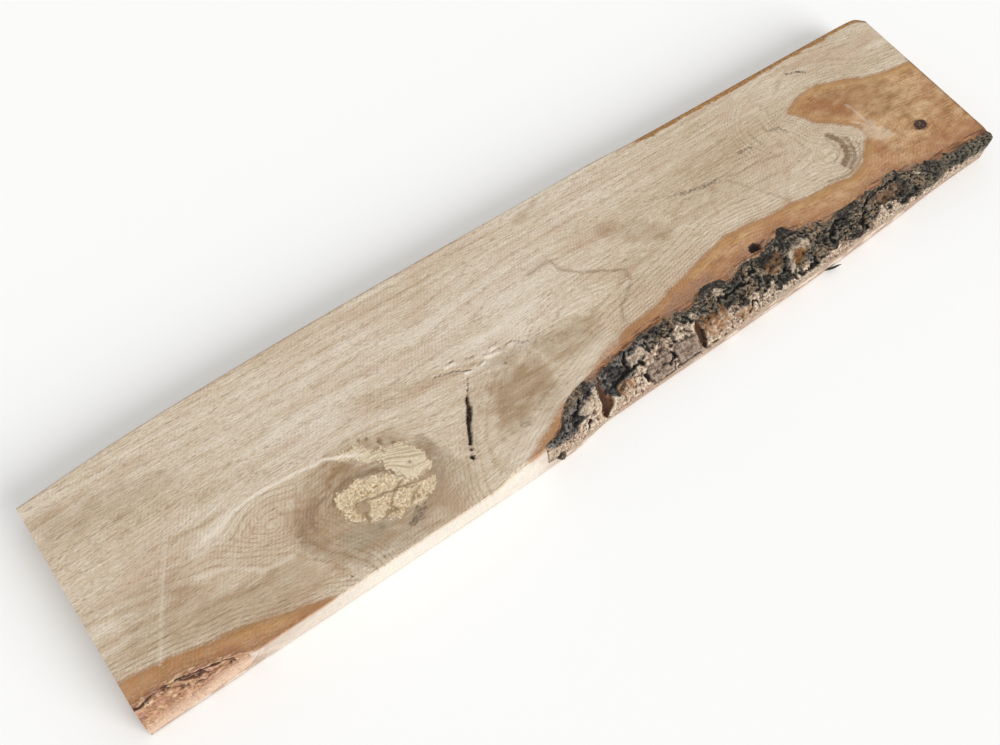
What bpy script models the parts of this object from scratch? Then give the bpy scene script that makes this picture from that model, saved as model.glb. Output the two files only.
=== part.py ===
"""Oak bark-edge board: a sawn plank that keeps the round of the log and its bark along one edge.

X runs along the board, from the left end to the right end. Y runs across it, with the bark edge at -Y.
Z is up from the sawn underside at 0. Shapes are worked out in millimetres and placed in metres.
"""
import math

import bmesh
import bpy
from mathutils import Matrix, Vector, noise

MM = 0.001

# For the guide curves: the steepest slope at a key against the straight line's, and the step for a normal
STEEPEST = 2.5
STEP_T = 0.01

# Driving dimensions, in millimetres
LENGTH = 750.0
THICKNESS = 27.0
SAWN_EDGE = -86.5
FIT_GAP = 0.3
STATION_STEP = 5.0
ARRIS = 0.8
ARRIS_SET_BACK = 0.4

# The far edge follows the log a little: it draws in towards the left end, and its right corner is round
FAR_EDGE = [(-375, 74.5), (-304, 80.9), (-236, 83.9), (-150, 86.0), (0, 86.5), (90, 86.5),
            (135, 84.6), (350, 83.0), (368, 81.8), (375, 76.0)]
FAR_ROUND = 2.0

# Where the saw ran along the near edge, read at the underside
NEAR_SAW = [(-375, SAWN_EDGE), (-62, SAWN_EDGE), (-22, -81.5), (84, -80.2), (162, -78.7), (225, -76.9),
            (280, -74.2), (320, -71.8), (375, -70.4)]
# Where the flat top ends: at the saw's arris, at bare round wood, or at the start of the bark
TOP_EDGE = [(-375, -74.7), (-350, -73.4), (-330, -77.0), (-312, -81.2), (-298, -86.1), (-270, -86.1),
            (-124, -86.1), (-108, -82.4), (-80, -80.4), (-64, -77.2), (-55, -70.5), (-42, -64.2),
            (-20, -59.5), (10, -53.9), (40, -50.6), (66, -54.2), (90, -50.2), (108, -52.8), (126, -47.0),
            (148, -49.5), (166, -42.2), (184, -48.8), (206, -56.0), (234, -57.0), (256, -53.0),
            (285, -54.2), (308, -61.0), (340, -62.4), (375, -65.4)]
# How high the saw's flat face stands above the underside. Above it comes the round of the log
SAWN_HEIGHT = [(-375, 4.0), (-330, 6.0), (-306, 9.0), (-297, 24.0), (-288, 26.1), (-124, 26.1), (-112, 19.0),
               (-87, 14.0), (-65, 10.0), (-45, 5.0), (-30, 1.8), (0, 1.8), (60, 5.0), (100, 8.0), (118, 12.0),
               (150, 13.0), (204, 9.0), (222, 14.0), (256, 11.5), (290, 4.0), (304, 1.8), (375, 1.8)]
WANE_ROUND, FLATTEST_ROUND = 2.6, 0.1
WANE_STEPS = 5

# Bark: where it sits along the board, and how thick it is
STRIP_START, STRIP_END = -80.0, LENGTH / 2
CORNER_START, CORNER_END = -LENGTH / 2, -305.0
BARK_LIP = 6.0
BARK_FOOT = 4.5
BARK_LEDGE = 3.0
BARK_BELLY = 3.2
THIN_BARK = 1.2
BARK_STEPS = 13
BARK_WIDTH = 30.0
FADE_IN = 30.0
CORNER_SHARE = 0.5
THIN_END = 0.15

# Cork relief: lumps between fissures, and finer ridges across the strip near the right end
LUMP_SIZE, LUMP_HEIGHT, BIAS = 11.0, 4.2, 0.35
CRUMB_SIZE, CRUMB_HEIGHT = 4.5, 1.8
RIDGE_START, RIDGE_PITCH, RIDGE_HEIGHT, RIDGE_LEAN = 315.0, 10.0, 1.0, 0.4
CALM = 0.65

# Two scoops cut across the bark, and a pit where a bud or branch was: station, half width, depth, share
# of the way from the top plane to the foot, and its half length as a share
SCOOPS = [(-26.0, 6.0, 7.0, 0.62, 0.45), (64.0, 7.0, 6.0, 0.72, 0.32), (136.0, 4.5, 5.0, 0.10, 0.20),
          (262.0, 9.0, 4.0, 0.45, 0.45)]

# The heart crack in the top face
CRACK_PLACE = (-109.7, -37.5)
CRACK_LENGTH, CRACK_WIDTH, CRACK_DEPTH = 40.0, 4.0, 7.0
CRACK_TURN = math.radians(56.0)
CRACK_SIDES = 16


def along(keys, x):
    """The value at station x of a smooth curve through keys of (station, value)."""
    x = min(max(x, keys[0][0]), keys[-1][0])
    i = max(k for k in range(len(keys) - 1) if keys[k][0] <= x)
    (x0, v0), (x1, v1) = keys[i], keys[i + 1]
    before = keys[max(i - 1, 0)]
    after = keys[min(i + 2, len(keys) - 1)]
    span = x1 - x0
    slope = (v1 - v0) / span
    slope0, slope1 = (v1 - before[1]) / (x1 - before[0]), (after[1] - v0) / (after[0] - x0)
    slope0 = slope0 if slope0 * slope > 0 else 0.0
    slope1 = slope1 if slope1 * slope > 0 else 0.0
    slope0 = math.copysign(min(abs(slope0), STEEPEST * abs(slope)), slope)
    slope1 = math.copysign(min(abs(slope1), STEEPEST * abs(slope)), slope)
    t = (x - x0) / span
    bend0, bend1 = t * (1 - t) ** 2, t * t * (t - 1)
    return v0 + (v1 - v0) * t * t * (3 - 2 * t) + span * (slope0 * bend0 + slope1 * bend1)


def ramp(x, start, end):
    """0 before start, 1 after end, and a straight climb between."""
    return min(1.0, max(0.0, (x - start) / (end - start)))


def bark_share(x):
    """How much of the full bark thickness there is at a station."""
    if x <= CORNER_END:
        return THIN_END + (CORNER_SHARE - THIN_END) * ramp(-x, -CORNER_END, -CORNER_END + FADE_IN)
    if x < STRIP_START:
        return 0.0
    return THIN_END + (1.0 - THIN_END) * ramp(x, STRIP_START, STRIP_START + FADE_IN)


def wane_point(x, t, offset=0.0):
    """(y, z) on the log's round between the flat top (t = 0) and the sawn face (t = 1)."""
    share = bark_share(x)
    top = (along(TOP_EDGE, x) + BARK_LIP * share, THICKNESS)
    foot = (along(NEAR_SAW, x) + ARRIS_SET_BACK + BARK_LEDGE * share, along(SAWN_HEIGHT, x))
    run, fall = foot[0] - top[0], foot[1] - top[1]
    length = math.hypot(run, fall)
    normal = (fall / length, -run / length)
    bulge = min(WANE_ROUND, FLATTEST_ROUND * length) * math.sin(math.pi * t) + offset
    return top[0] + run * t + normal[0] * bulge, top[1] + fall * t + normal[1] * bulge


def relief(x, t):
    """Height of the cork above or below its mean surface, in millimetres."""
    down = t * BARK_WIDTH
    lump = noise.noise(Vector((x / LUMP_SIZE, down / LUMP_SIZE, 3.7)))
    crumb = noise.noise(Vector((x / CRUMB_SIZE, down / CRUMB_SIZE, 9.1)))
    height = LUMP_HEIGHT * (lump - BIAS) + CRUMB_HEIGHT * crumb
    ridge = RIDGE_HEIGHT * math.sin(2.0 * math.pi * (x + RIDGE_LEAN * down) / RIDGE_PITCH)
    calm = ramp(x, RIDGE_START, RIDGE_START + FADE_IN)
    height = height * (1.0 - CALM * calm) + ridge * calm
    for station, half_width, depth, place, half_length in SCOOPS:
        away = ((x - station) / half_width) ** 2 + ((t - place) / half_length) ** 2
        height -= depth * math.exp(-away)
    return height


def wane_normal(x, t):
    """The outward (y, z) normal of the log's round at a station."""
    y0, z0 = wane_point(x, max(t - STEP_T, 0.0))
    y1, z1 = wane_point(x, min(t + STEP_T, 1.0))
    length = math.hypot(y1 - y0, z1 - z0)
    return (z1 - z0) / length, -(y1 - y0) / length


def bark_face(x, t):
    """(y, z) on the outside of the bark, from the top plane (t = 0) to its foot on the sawn face (t = 1)."""
    share = bark_share(x)
    y, z = wane_point(x, t)
    out_y, out_z = wane_normal(x, t)
    step_y = -share * (BARK_LIP * (1.0 - t) + BARK_LEDGE * t * t)
    step_z = share * BARK_FOOT * t
    window = math.sin(math.pi * t)
    fall = THICKNESS - along(SAWN_HEIGHT, x)
    skin = window * share * (BARK_BELLY * fall / THICKNESS + relief(x, t))
    thickness = step_y * out_y + step_z * out_z + skin
    skin += max(0.0, THIN_BARK * window - thickness)
    y, z = y + step_y + out_y * skin, z + step_z + out_z * skin
    return max(along(NEAR_SAW, x), y), min(THICKNESS, z)


def bark_section(x):
    """The closed ring of a bark section: its outside from the top plane to the foot, then its back."""
    saw, height = along(NEAR_SAW, x), along(SAWN_HEIGHT, x)
    share = bark_share(x)
    ring = [bark_face(x, k / BARK_STEPS) for k in range(BARK_STEPS)]
    ring.append((saw, height + BARK_FOOT * share))
    ring.append((saw, height - ARRIS + FIT_GAP))
    heel_y, heel_z = wane_point(x, 1.0, FIT_GAP)
    ring.append((heel_y, heel_z + FIT_GAP))
    ring += [wane_point(x, k / WANE_STEPS, FIT_GAP) for k in range(WANE_STEPS - 1, 0, -1)]
    ring.append((along(TOP_EDGE, x) + BARK_LIP * share + FIT_GAP / wane_normal(x, 0.0)[0], THICKNESS))
    return [(x, y, z) for y, z in ring]


def wood_section(x):
    """The closed ring of a wood section: far edge, top, round of the log, sawn face, underside."""
    far = along(FAR_EDGE, x)
    saw = along(NEAR_SAW, x)
    ring = [(far, 0.0), (far, THICKNESS - FAR_ROUND), (far - FAR_ROUND, THICKNESS)]
    ring += [wane_point(x, k / WANE_STEPS) for k in range(WANE_STEPS + 1)]
    ring += [(saw, along(SAWN_HEIGHT, x) - ARRIS), (saw, 0.0)]
    return [(x, y, z) for y, z in ring]


def stations(start, end):
    """Stations on the common grid from start to end, which fall on it."""
    count = round((end - start) / STATION_STEP)
    return [start + k * (end - start) / count for k in range(count + 1)]


def loft(name, sections, material, collection):
    """Skin matching rings of points into one closed solid with flat ends.

    Quads are split along their shorter diagonal, so that bark and wood split alike where they face.
    """
    mesh = bpy.data.meshes.new(name)
    shape = bmesh.new()
    rings = [[shape.verts.new(Vector(point) * MM) for point in ring] for ring in sections]
    count = len(rings[0])
    for ring, beyond in zip(rings, rings[1:]):
        for k in range(count):
            after = (k + 1) % count
            shape.faces.new((ring[k], ring[after], beyond[after], beyond[k]))
    shape.faces.new(rings[0])
    shape.faces.new(rings[-1])
    bmesh.ops.recalc_face_normals(shape, faces=shape.faces)
    bmesh.ops.triangulate(shape, faces=shape.faces, quad_method="SHORT_EDGE")
    shape.to_mesh(mesh)
    shape.free()
    mesh.materials.append(material)
    piece = bpy.data.objects.new(name, mesh)
    collection.objects.link(piece)
    return piece


def finish(name, colour, roughness):
    """A Principled material from a linear colour and a roughness."""
    material = bpy.data.materials.new(name)
    material.use_nodes = True
    shader = material.node_tree.nodes["Principled BSDF"]
    shader.inputs["Base Color"].default_value = (*colour, 1.0)
    shader.inputs["Roughness"].default_value = roughness
    shader.inputs["Metallic"].default_value = 0.0
    return material


def new_collection(name):
    """A collection linked to the scene."""
    collection = bpy.data.collections.new(name)
    bpy.context.scene.collection.children.link(collection)
    return collection


def move_to(piece, collection):
    """Put an object in one collection only."""
    for holder in list(piece.users_collection):
        holder.objects.unlink(piece)
    collection.objects.link(piece)


def cut_crack(board, cutters):
    """Cut the slim heart crack into the top face of the board."""
    bpy.ops.mesh.primitive_cylinder_add(vertices=CRACK_SIDES, radius=1.0, depth=2.0)
    cutter = bpy.context.object
    cutter.name = "crack_cutter"
    half_sizes = Vector((CRACK_LENGTH / 2, CRACK_WIDTH / 2, CRACK_DEPTH, 1.0 / MM)) * MM
    cutter.data.transform(Matrix.Diagonal(half_sizes))
    cutter.location = (CRACK_PLACE[0] * MM, CRACK_PLACE[1] * MM, THICKNESS * MM)
    cutter.rotation_euler = (0.0, 0.0, CRACK_TURN)
    cutter.hide_render = True
    cutter.display_type = "WIRE"
    move_to(cutter, cutters)
    cut = board.modifiers.new("heart_crack", "BOOLEAN")
    cut.operation = "DIFFERENCE"
    cut.solver = "EXACT"
    cut.object = cutter


def build():
    """Make the board, its two pieces of bark and their materials."""
    for old in list(bpy.data.objects):
        bpy.data.objects.remove(old)
    parts = new_collection("oak_bark_edge_board")
    cutters = new_collection("cutters")
    wood = finish("sawn_oak", (0.52, 0.36, 0.21), 0.75)
    cork = finish("oak_bark", (0.06, 0.05, 0.045), 0.95)
    bast = finish("oak_bast", (0.30, 0.16, 0.08), 0.9)
    half = LENGTH / 2
    board = loft("oak_board", [wood_section(x) for x in stations(-half, half)], wood, parts)
    loft("bark_strip", [bark_section(x) for x in stations(STRIP_START, STRIP_END)], cork, parts)
    loft("bark_corner", [bark_section(x) for x in stations(CORNER_START, CORNER_END)], bast, parts)
    cut_crack(board, cutters)


build()
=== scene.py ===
# %% [markdown]
# Oak bark-edge board. A slab was sawn from near the outside of an oak log, and the near edge keeps the
# round of the log with its bark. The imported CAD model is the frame: every piece here is made at its place
# in that model, in metres, and rides on its one body.

# %% The frame
import itertools
import math

import bpy
import numpy as np
from mathutils import Matrix, Vector, noise


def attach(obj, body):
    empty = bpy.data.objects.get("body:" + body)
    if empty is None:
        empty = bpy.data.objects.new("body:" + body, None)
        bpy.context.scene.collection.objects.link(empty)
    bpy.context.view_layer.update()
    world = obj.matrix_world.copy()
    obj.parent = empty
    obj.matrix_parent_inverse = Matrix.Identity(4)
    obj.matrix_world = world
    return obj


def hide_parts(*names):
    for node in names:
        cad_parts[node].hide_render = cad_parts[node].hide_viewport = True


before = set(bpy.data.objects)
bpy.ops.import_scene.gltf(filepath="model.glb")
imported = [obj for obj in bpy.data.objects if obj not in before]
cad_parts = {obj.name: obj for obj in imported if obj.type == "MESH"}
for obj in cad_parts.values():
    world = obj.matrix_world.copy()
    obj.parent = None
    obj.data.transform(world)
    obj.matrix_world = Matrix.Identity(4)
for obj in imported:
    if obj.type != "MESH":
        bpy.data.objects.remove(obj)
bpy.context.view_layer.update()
MM = 0.001
print("CAD nodes:", sorted(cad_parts))

# %% [markdown]
# The camera stands over the near left side of the board and looks down steeply along it. Its place and
# its axes come from matching the corners of the board. A long lens with no shift keeps the sides calm.

# %% Camera
LENS, SENSOR = 40.862, 36.0
CAMERA_PLACE = (-0.321258, -0.277939, 0.703210)
CAMERA_RIGHT = (0.80246347, -0.59273421, 0.06869164)
CAMERA_DOWN = (-0.50015098, -0.73093053, -0.46431622)
CAMERA_AHEAD = (0.32542493, 0.33824061, -0.88300165)

eye = bpy.data.cameras.new("camera")
eye.lens, eye.sensor_width = LENS, SENSOR
eye.clip_start, eye.clip_end = 0.01, 50.0
camera = bpy.data.objects.new("camera", eye)
bpy.context.scene.collection.objects.link(camera)
turn = Matrix((CAMERA_RIGHT, [-v for v in CAMERA_DOWN], [-v for v in CAMERA_AHEAD])).transposed()
camera.matrix_world = Matrix.Translation(CAMERA_PLACE) @ turn.to_4x4()
bpy.context.scene.camera = camera
print("camera at", [round(v, 3) for v in camera.location])

# %% [markdown]
# Colours are chosen as sRGB hex values, as a paint card gives them. Shaders work in linear light, so one
# function turns them over. One more function adds a node with its settings, values and links, and another
# starts a finish. Wood, bark and paper are all plant fibre, so they share one IOR of about 1.5.

# %% Colour and node helpers
def linear(code):
    """Linear RGBA from an sRGB hex code."""
    parts = [int(code[k:k + 2], 16) / 255 for k in (1, 3, 5)]
    return (*[p / 12.92 if p <= 0.04045 else ((p + 0.055) / 1.055) ** 2.4 for p in parts], 1.0)


def add(tree, kind, inputs=None, **settings):
    """Add a node with its settings, and give its inputs a value or a link. Returns its outputs."""
    node = tree.nodes.new(kind)
    for name, value in settings.items():
        setattr(node, name, value)
    for key, value in (inputs or {}).items():
        if isinstance(value, bpy.types.NodeSocket):
            tree.links.new(value, node.inputs[key])
        else:
            node.inputs[key].default_value = value
    return node.outputs


def new_finish(name, roughness, ior=1.5):
    """A new material with its roughness and IOR. Returns the material, its node tree and its shader."""
    material = bpy.data.materials.new(name)
    material.use_nodes = True
    shader = material.node_tree.nodes["Principled BSDF"]
    shader.inputs["Roughness"].default_value = roughness
    shader.inputs["IOR"].default_value = ior
    return material, material.node_tree, shader


# %% [markdown]
# The studio is a white floor under a white sky, so the board has almost no shadow. One very soft light low
# on the near side brightens the sawn edge and the lower bark, as a wide window on that side would. A sun
# lamp does this evenly: its angle, 42 degrees here, is how wide the window looks from the board.

# %% Floor and light
bpy.context.scene.view_settings.view_transform = "Standard"
FLOOR_SIZE, FLOOR_DROP = 40.0, 0.0005
SKY = 0.66
KEY_STRENGTH, KEY_ANGLE, KEY_FROM = 2.3, 42.0, (0.9, -2.4, 1.35)

floor_mesh = bpy.data.meshes.new("studio_floor")
half = FLOOR_SIZE / 2
corners = [(-half, -half), (half, -half), (half, half), (-half, half)]
floor_mesh.from_pydata([(x, y, -FLOOR_DROP) for x, y in corners], [], [(0, 1, 2, 3)])
floor = bpy.data.objects.new("studio_floor", floor_mesh)
bpy.context.scene.collection.objects.link(floor)
paper, _, paper_shader = new_finish("matt_white_paper", 0.95)
paper_shader.inputs["Base Color"].default_value = linear("#FBFBFA")
floor_mesh.materials.append(paper)

sky = bpy.data.worlds.new("white_sky")
sky.use_nodes = True
sky.node_tree.nodes["Background"].inputs["Color"].default_value = (1.0, 1.0, 1.0, 1.0)
sky.node_tree.nodes["Background"].inputs["Strength"].default_value = SKY
bpy.context.scene.world = sky

lamp = bpy.data.lights.new("near_side_window", "SUN")
lamp.energy, lamp.angle = KEY_STRENGTH, math.radians(KEY_ANGLE)
key = bpy.data.objects.new("near_side_window", lamp)
key.rotation_euler = (-Vector(KEY_FROM)).to_track_quat("-Z", "Y").to_euler()
bpy.context.scene.collection.objects.link(key)
print("floor, sky and one soft light")

# %% [markdown]
# The real board's outline is not a rectangle. Its far edge, its sawn near edge and the line where the flat
# top ends are curves along the board, given by a few stations in millimetres. They are the same curves
# as the CAD model's, so that what is made here fits it.

# %% Sizes and guide curves
LENGTH, THICKNESS = 750.0, 27.0
SAWN_EDGE = -86.5
FIT_GAP = 0.3
ARRIS, ARRIS_SET_BACK = 0.8, 0.4
STEEPEST, STEP_T = 2.5, 0.01
FAR_ROUND = 2.0
FAR_EDGE = [(-375, 74.5), (-304, 80.9), (-236, 83.9), (-150, 86.0), (0, 86.5), (90, 86.5),
            (135, 84.6), (350, 83.0), (368, 81.8), (375, 76.0)]
NEAR_SAW = [(-375, SAWN_EDGE), (-62, SAWN_EDGE), (-22, -81.5), (84, -80.2), (162, -78.7), (225, -76.9),
            (280, -74.2), (320, -71.8), (375, -70.4)]
TOP_EDGE = [(-375, -74.7), (-350, -73.4), (-330, -77.0), (-312, -81.2), (-298, -86.1), (-270, -86.1),
            (-124, -86.1), (-108, -82.4), (-80, -80.4), (-64, -77.2), (-55, -70.5), (-42, -64.2),
            (-20, -59.5), (10, -53.9), (40, -50.6), (66, -54.2), (90, -50.2), (108, -52.8), (126, -47.0),
            (148, -49.5), (166, -42.2), (184, -48.8), (206, -56.0), (234, -57.0), (256, -53.0),
            (285, -54.2), (308, -61.0), (340, -62.4), (375, -65.4)]
SAWN_HEIGHT = [(-375, 4.0), (-330, 6.0), (-306, 9.0), (-297, 24.0), (-288, 26.1), (-124, 26.1), (-112, 19.0),
               (-87, 14.0), (-65, 10.0), (-45, 5.0), (-30, 1.8), (0, 1.8), (60, 5.0), (100, 8.0), (118, 12.0),
               (150, 13.0), (204, 9.0), (222, 14.0), (256, 11.5), (290, 4.0), (304, 1.8), (375, 1.8)]
WANE_ROUND, FLATTEST_ROUND = 2.6, 0.1
STRIP_START, STRIP_END = -80.0, LENGTH / 2
CORNER_START, CORNER_END = -LENGTH / 2, -305.0
BARK_LIP, BARK_FOOT, BARK_LEDGE, BARK_BELLY, THIN_BARK = 6.0, 4.5, 3.0, 3.2, 1.2
BARK_WIDTH, FADE_IN, CORNER_SHARE, THIN_END = 30.0, 30.0, 0.5, 0.15


def along(keys, x):
    """The value at station x of a smooth curve through keys of (station, value)."""
    x = min(max(x, keys[0][0]), keys[-1][0])
    i = max(k for k in range(len(keys) - 1) if keys[k][0] <= x)
    (x0, v0), (x1, v1) = keys[i], keys[i + 1]
    before = keys[max(i - 1, 0)]
    after = keys[min(i + 2, len(keys) - 1)]
    span = x1 - x0
    slope = (v1 - v0) / span
    slope0, slope1 = (v1 - before[1]) / (x1 - before[0]), (after[1] - v0) / (after[0] - x0)
    slope0 = slope0 if slope0 * slope > 0 else 0.0
    slope1 = slope1 if slope1 * slope > 0 else 0.0
    slope0 = math.copysign(min(abs(slope0), STEEPEST * abs(slope)), slope)
    slope1 = math.copysign(min(abs(slope1), STEEPEST * abs(slope)), slope)
    t = (x - x0) / span
    bend0, bend1 = t * (1 - t) ** 2, t * t * (t - 1)
    return v0 + (v1 - v0) * t * t * (3 - 2 * t) + span * (slope0 * bend0 + slope1 * bend1)


def ramp(x, start, end):
    """0 before start, 1 after end, and a straight climb between. Works on numbers and arrays."""
    return np.clip((x - start) / (end - start), 0.0, 1.0)


def bark_share(x):
    """How much of the full bark thickness there is at a station."""
    if x <= CORNER_END:
        return THIN_END + (CORNER_SHARE - THIN_END) * ramp(-x, -CORNER_END, -CORNER_END + FADE_IN)
    if x < STRIP_START:
        return 0.0
    return THIN_END + (1.0 - THIN_END) * ramp(x, STRIP_START, STRIP_START + FADE_IN)


def wane_point(x, t, offset=0.0):
    """(y, z) on the log's round between the flat top (t = 0) and the sawn face (t = 1)."""
    share = bark_share(x)
    top = (along(TOP_EDGE, x) + BARK_LIP * share, THICKNESS)
    foot = (along(NEAR_SAW, x) + ARRIS_SET_BACK + BARK_LEDGE * share, along(SAWN_HEIGHT, x))
    run, fall = foot[0] - top[0], foot[1] - top[1]
    length = math.hypot(run, fall)
    normal = (fall / length, -run / length)
    bulge = min(WANE_ROUND, FLATTEST_ROUND * length) * math.sin(math.pi * t) + offset
    return top[0] + run * t + normal[0] * bulge, top[1] + fall * t + normal[1] * bulge


print("far edge in the middle:", along(FAR_EDGE, 0.0), "mm; flat top ends at:", along(TOP_EDGE, 0.0), "mm")

# %% [markdown]
# Every mark on the board is placed by a line or an outline on its top, in millimetres. Two measures turn
# these into smooth fields: the distance to a line, and the depth inside an outline. A third gives lumpy
# noise, the same on every run because its table of heights has a fixed seed.

# %% Measures on points
def line_distance(points, line):
    """Distance in mm from each point's (x, y) to a polyline, and how far along it from 0 to 1."""
    line = np.asarray(line, float)
    best, where = np.full(len(points), 1e9), np.zeros(len(points))
    lengths = np.hypot(*(line[1:] - line[:-1]).T)
    passed = np.concatenate([[0.0], np.cumsum(lengths)])
    for k in range(len(line) - 1):
        step = line[k + 1] - line[k]
        part = np.clip(((points[:, :2] - line[k]) @ step) / (step @ step), 0.0, 1.0)
        gap = np.hypot(*(points[:, :2] - line[k] - part[:, None] * step).T)
        nearer = gap < best
        best[nearer] = gap[nearer]
        where[nearer] = (passed[k] + part[nearer] * lengths[k]) / passed[-1]
    return best, where


def depth_inside(points, outline):
    """How deep each point's (x, y) lies inside a closed outline, in mm; outside it is below 0."""
    outline = np.asarray(outline, float)
    closed = np.vstack([outline, outline[:1]])
    inside = np.zeros(len(points), bool)
    for (x0, y0), (x1, y1) in zip(closed, closed[1:]):
        crosses = (y0 > points[:, 1]) != (y1 > points[:, 1])
        if y0 != y1:
            inside ^= crosses & (points[:, 0] < (x1 - x0) * (points[:, 1] - y0) / (y1 - y0) + x0)
    return np.where(inside, 1.0, -1.0) * line_distance(points, closed)[0]


def eased(share):
    """A straight climb from 0 to 1 made gentle at both its ends."""
    return share * share * (3 - 2 * share)


LUMP_TABLE = 4096
CELL_PRIMES = (73856093, 19349663, 83492791)


def lumps(points, size, seed):
    """Smooth noise from -1 to 1 at each point; size is a lump's width in mm, one number or one per axis."""
    place = points / np.asarray(size, float)
    cell = np.floor(place).astype(np.int64)
    part = place - cell
    part = eased(part)
    heights = np.random.default_rng(seed).uniform(-1.0, 1.0, LUMP_TABLE)
    total = np.zeros(len(points))
    for corner in itertools.product((0, 1), repeat=3):
        key = np.bitwise_xor.reduce((cell + corner) * CELL_PRIMES, axis=1) & (LUMP_TABLE - 1)
        total += np.prod(np.where(corner, part, 1 - part), axis=1) * heights[key]
    return total


def bump_at(points, centre, size):
    """A soft round mask: 1 at the centre, fading out over size mm (one number, or one for x and y)."""
    away = (points[:, :2] - centre) / size
    return np.exp(-(away ** 2).sum(axis=1))


# %% [markdown]
# The wood is one closed skin. Rings of points run round it at each station, fine on the top where the
# marks are and coarser on the plain underside, and two grids close its ends so that the end grain has
# points of its own. It is made from arrays, since a modifier could not follow these curves.

# %% The board's rings
FINE_STEP = 1.0
FINE_X, COARSE_X = (-225.0, -76.0), 1.9
FINE_Y, COARSE_Y = (-82.0, -5.0), 1.3
WANE_STEPS, ROUND_STEPS, ROWS, SKIP = 8, 3, 8, 8
HALF_WIDTH = 86.0


def graded(start, end, fine, coarse):
    """Places from start to end, a fine step apart inside the fine range and a coarse step elsewhere."""
    places = [start]
    while places[-1] < end - coarse * 0.75:
        inside = fine[0] - 0.5 < places[-1] < fine[1]
        places.append(min(end, places[-1] + (FINE_STEP if inside else coarse)))
    places[-1] = end
    return places


stations = graded(-LENGTH / 2, LENGTH / 2, FINE_X, COARSE_X)
columns = graded(-HALF_WIDTH, HALF_WIDTH, FINE_Y, COARSE_Y)[::-1]
while (len(columns) + ROUND_STEPS + WANE_STEPS) % SKIP:
    columns.insert(1, (columns[0] + columns[1]) / 2)
shares = (HALF_WIDTH - np.array(columns)) / (2 * HALF_WIDTH)


def top_path(x):
    """Points across the board at a station: the far arris, the flat top, the round of the log."""
    far, saw = along(FAR_EDGE, x), along(NEAR_SAW, x)
    quarter = [math.radians(90) * k / ROUND_STEPS for k in range(ROUND_STEPS)]
    path = [(far - FAR_ROUND * (1 - math.cos(a)), THICKNESS - FAR_ROUND * (1 - math.sin(a))) for a in quarter]
    start, end = far - FAR_ROUND, wane_point(x, 0.0)[0]
    path += [(start + (end - start) * s, THICKNESS) for s in shares]
    path += [wane_point(x, (k + 1) / WANE_STEPS) for k in range(WANE_STEPS)]
    path.append((saw, along(SAWN_HEIGHT, x) - ARRIS))
    return path


tops = np.array([top_path(x) for x in stations])
feet = tops[:, ::SKIP].copy()
feet[:, :, 1] = 0.0
drop = np.linspace(0.0, 1.0, ROWS + 1)[1:-1, None]
near_rows = tops[:, None, -1] * (1 - drop) + feet[:, None, -1] * drop
far_rows = (tops[:, None, 0] * (1 - drop) + feet[:, None, 0] * drop)[:, ::-1]
rings = np.concatenate([tops, near_rows, feet[:, ::-1], far_rows], axis=1)
ring_size = rings.shape[1]
points = np.concatenate([np.repeat(stations, ring_size)[:, None], rings.reshape(-1, 2)], axis=1)
print(len(stations), "stations of", ring_size, "points")

# %% [markdown]
# Faces join the points. Round the board they are quads between neighbouring rings. At each end, columns
# run down from the top path, and one row of wider faces takes them over to the coarser underside.

# %% The board's faces
def ring_quads(stations_count, size):
    """The quads between neighbouring closed rings."""
    a = np.arange(size)
    b = np.roll(a, -1)
    start = np.arange(stations_count - 1)[:, None] * size
    quads = np.stack([start + a, start + size + a, start + size + b, start + b], axis=2)
    return quads.reshape(-1, 4).tolist()


def end_grid(station, first_new):
    """Inner points and faces that close one end: columns run down from each point of the top path."""
    count = tops.shape[1]
    base = station * ring_size
    near = base + count
    under = near + ROWS - 1
    below = under + feet.shape[1] - 1
    far = below + 1
    inner = tops[station][1:-1][:, None] * (1 - drop) + np.stack(
        [tops[station][1:-1, 0], np.zeros(count - 2)], axis=1)[:, None] * drop

    def number(j, r):
        """The number of the point in column j, r rows down from the top path."""
        if r == 0:
            return base + j
        if j == 0:
            return far + ROWS - 1 - r
        if j == count - 1:
            return near + r - 1
        return first_new + (j - 1) * (ROWS - 1) + r - 1

    faces = [(number(j, r), number(j + 1, r), number(j + 1, r + 1), number(j, r + 1))
             for j in range(count - 1) for r in range(ROWS - 1)]
    for k in range(feet.shape[1] - 1):
        upper = [number(k * SKIP + i, ROWS - 1) for i in range(SKIP + 1)]
        faces.append((*upper, below - k - 1, below - k))
    flat = np.concatenate([np.full((inner.size // 2, 1), stations[station]), inner.reshape(-1, 2)], axis=1)
    return flat, faces


left_points, left_faces = end_grid(0, len(points))
right_points, right_faces = end_grid(len(stations) - 1, len(points) + len(left_points))
faces = ring_quads(len(stations), ring_size) + left_faces + [face[::-1] for face in right_faces]
points = np.concatenate([points, left_points, right_points])
print(len(points), "points and", len(faces), "faces")

# %% [markdown]
# The marks on the top are placed one by one: where the pale heartwood meets the orange-brown sapwood, the
# torn knot, the heart crack and its fine checks. Each is an outline or a line in millimetres, so a mark
# is moved by changing a number. An image texture would be the other way, but it can't be made coarser or
# finer, and it stops at the edge of the top.

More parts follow.
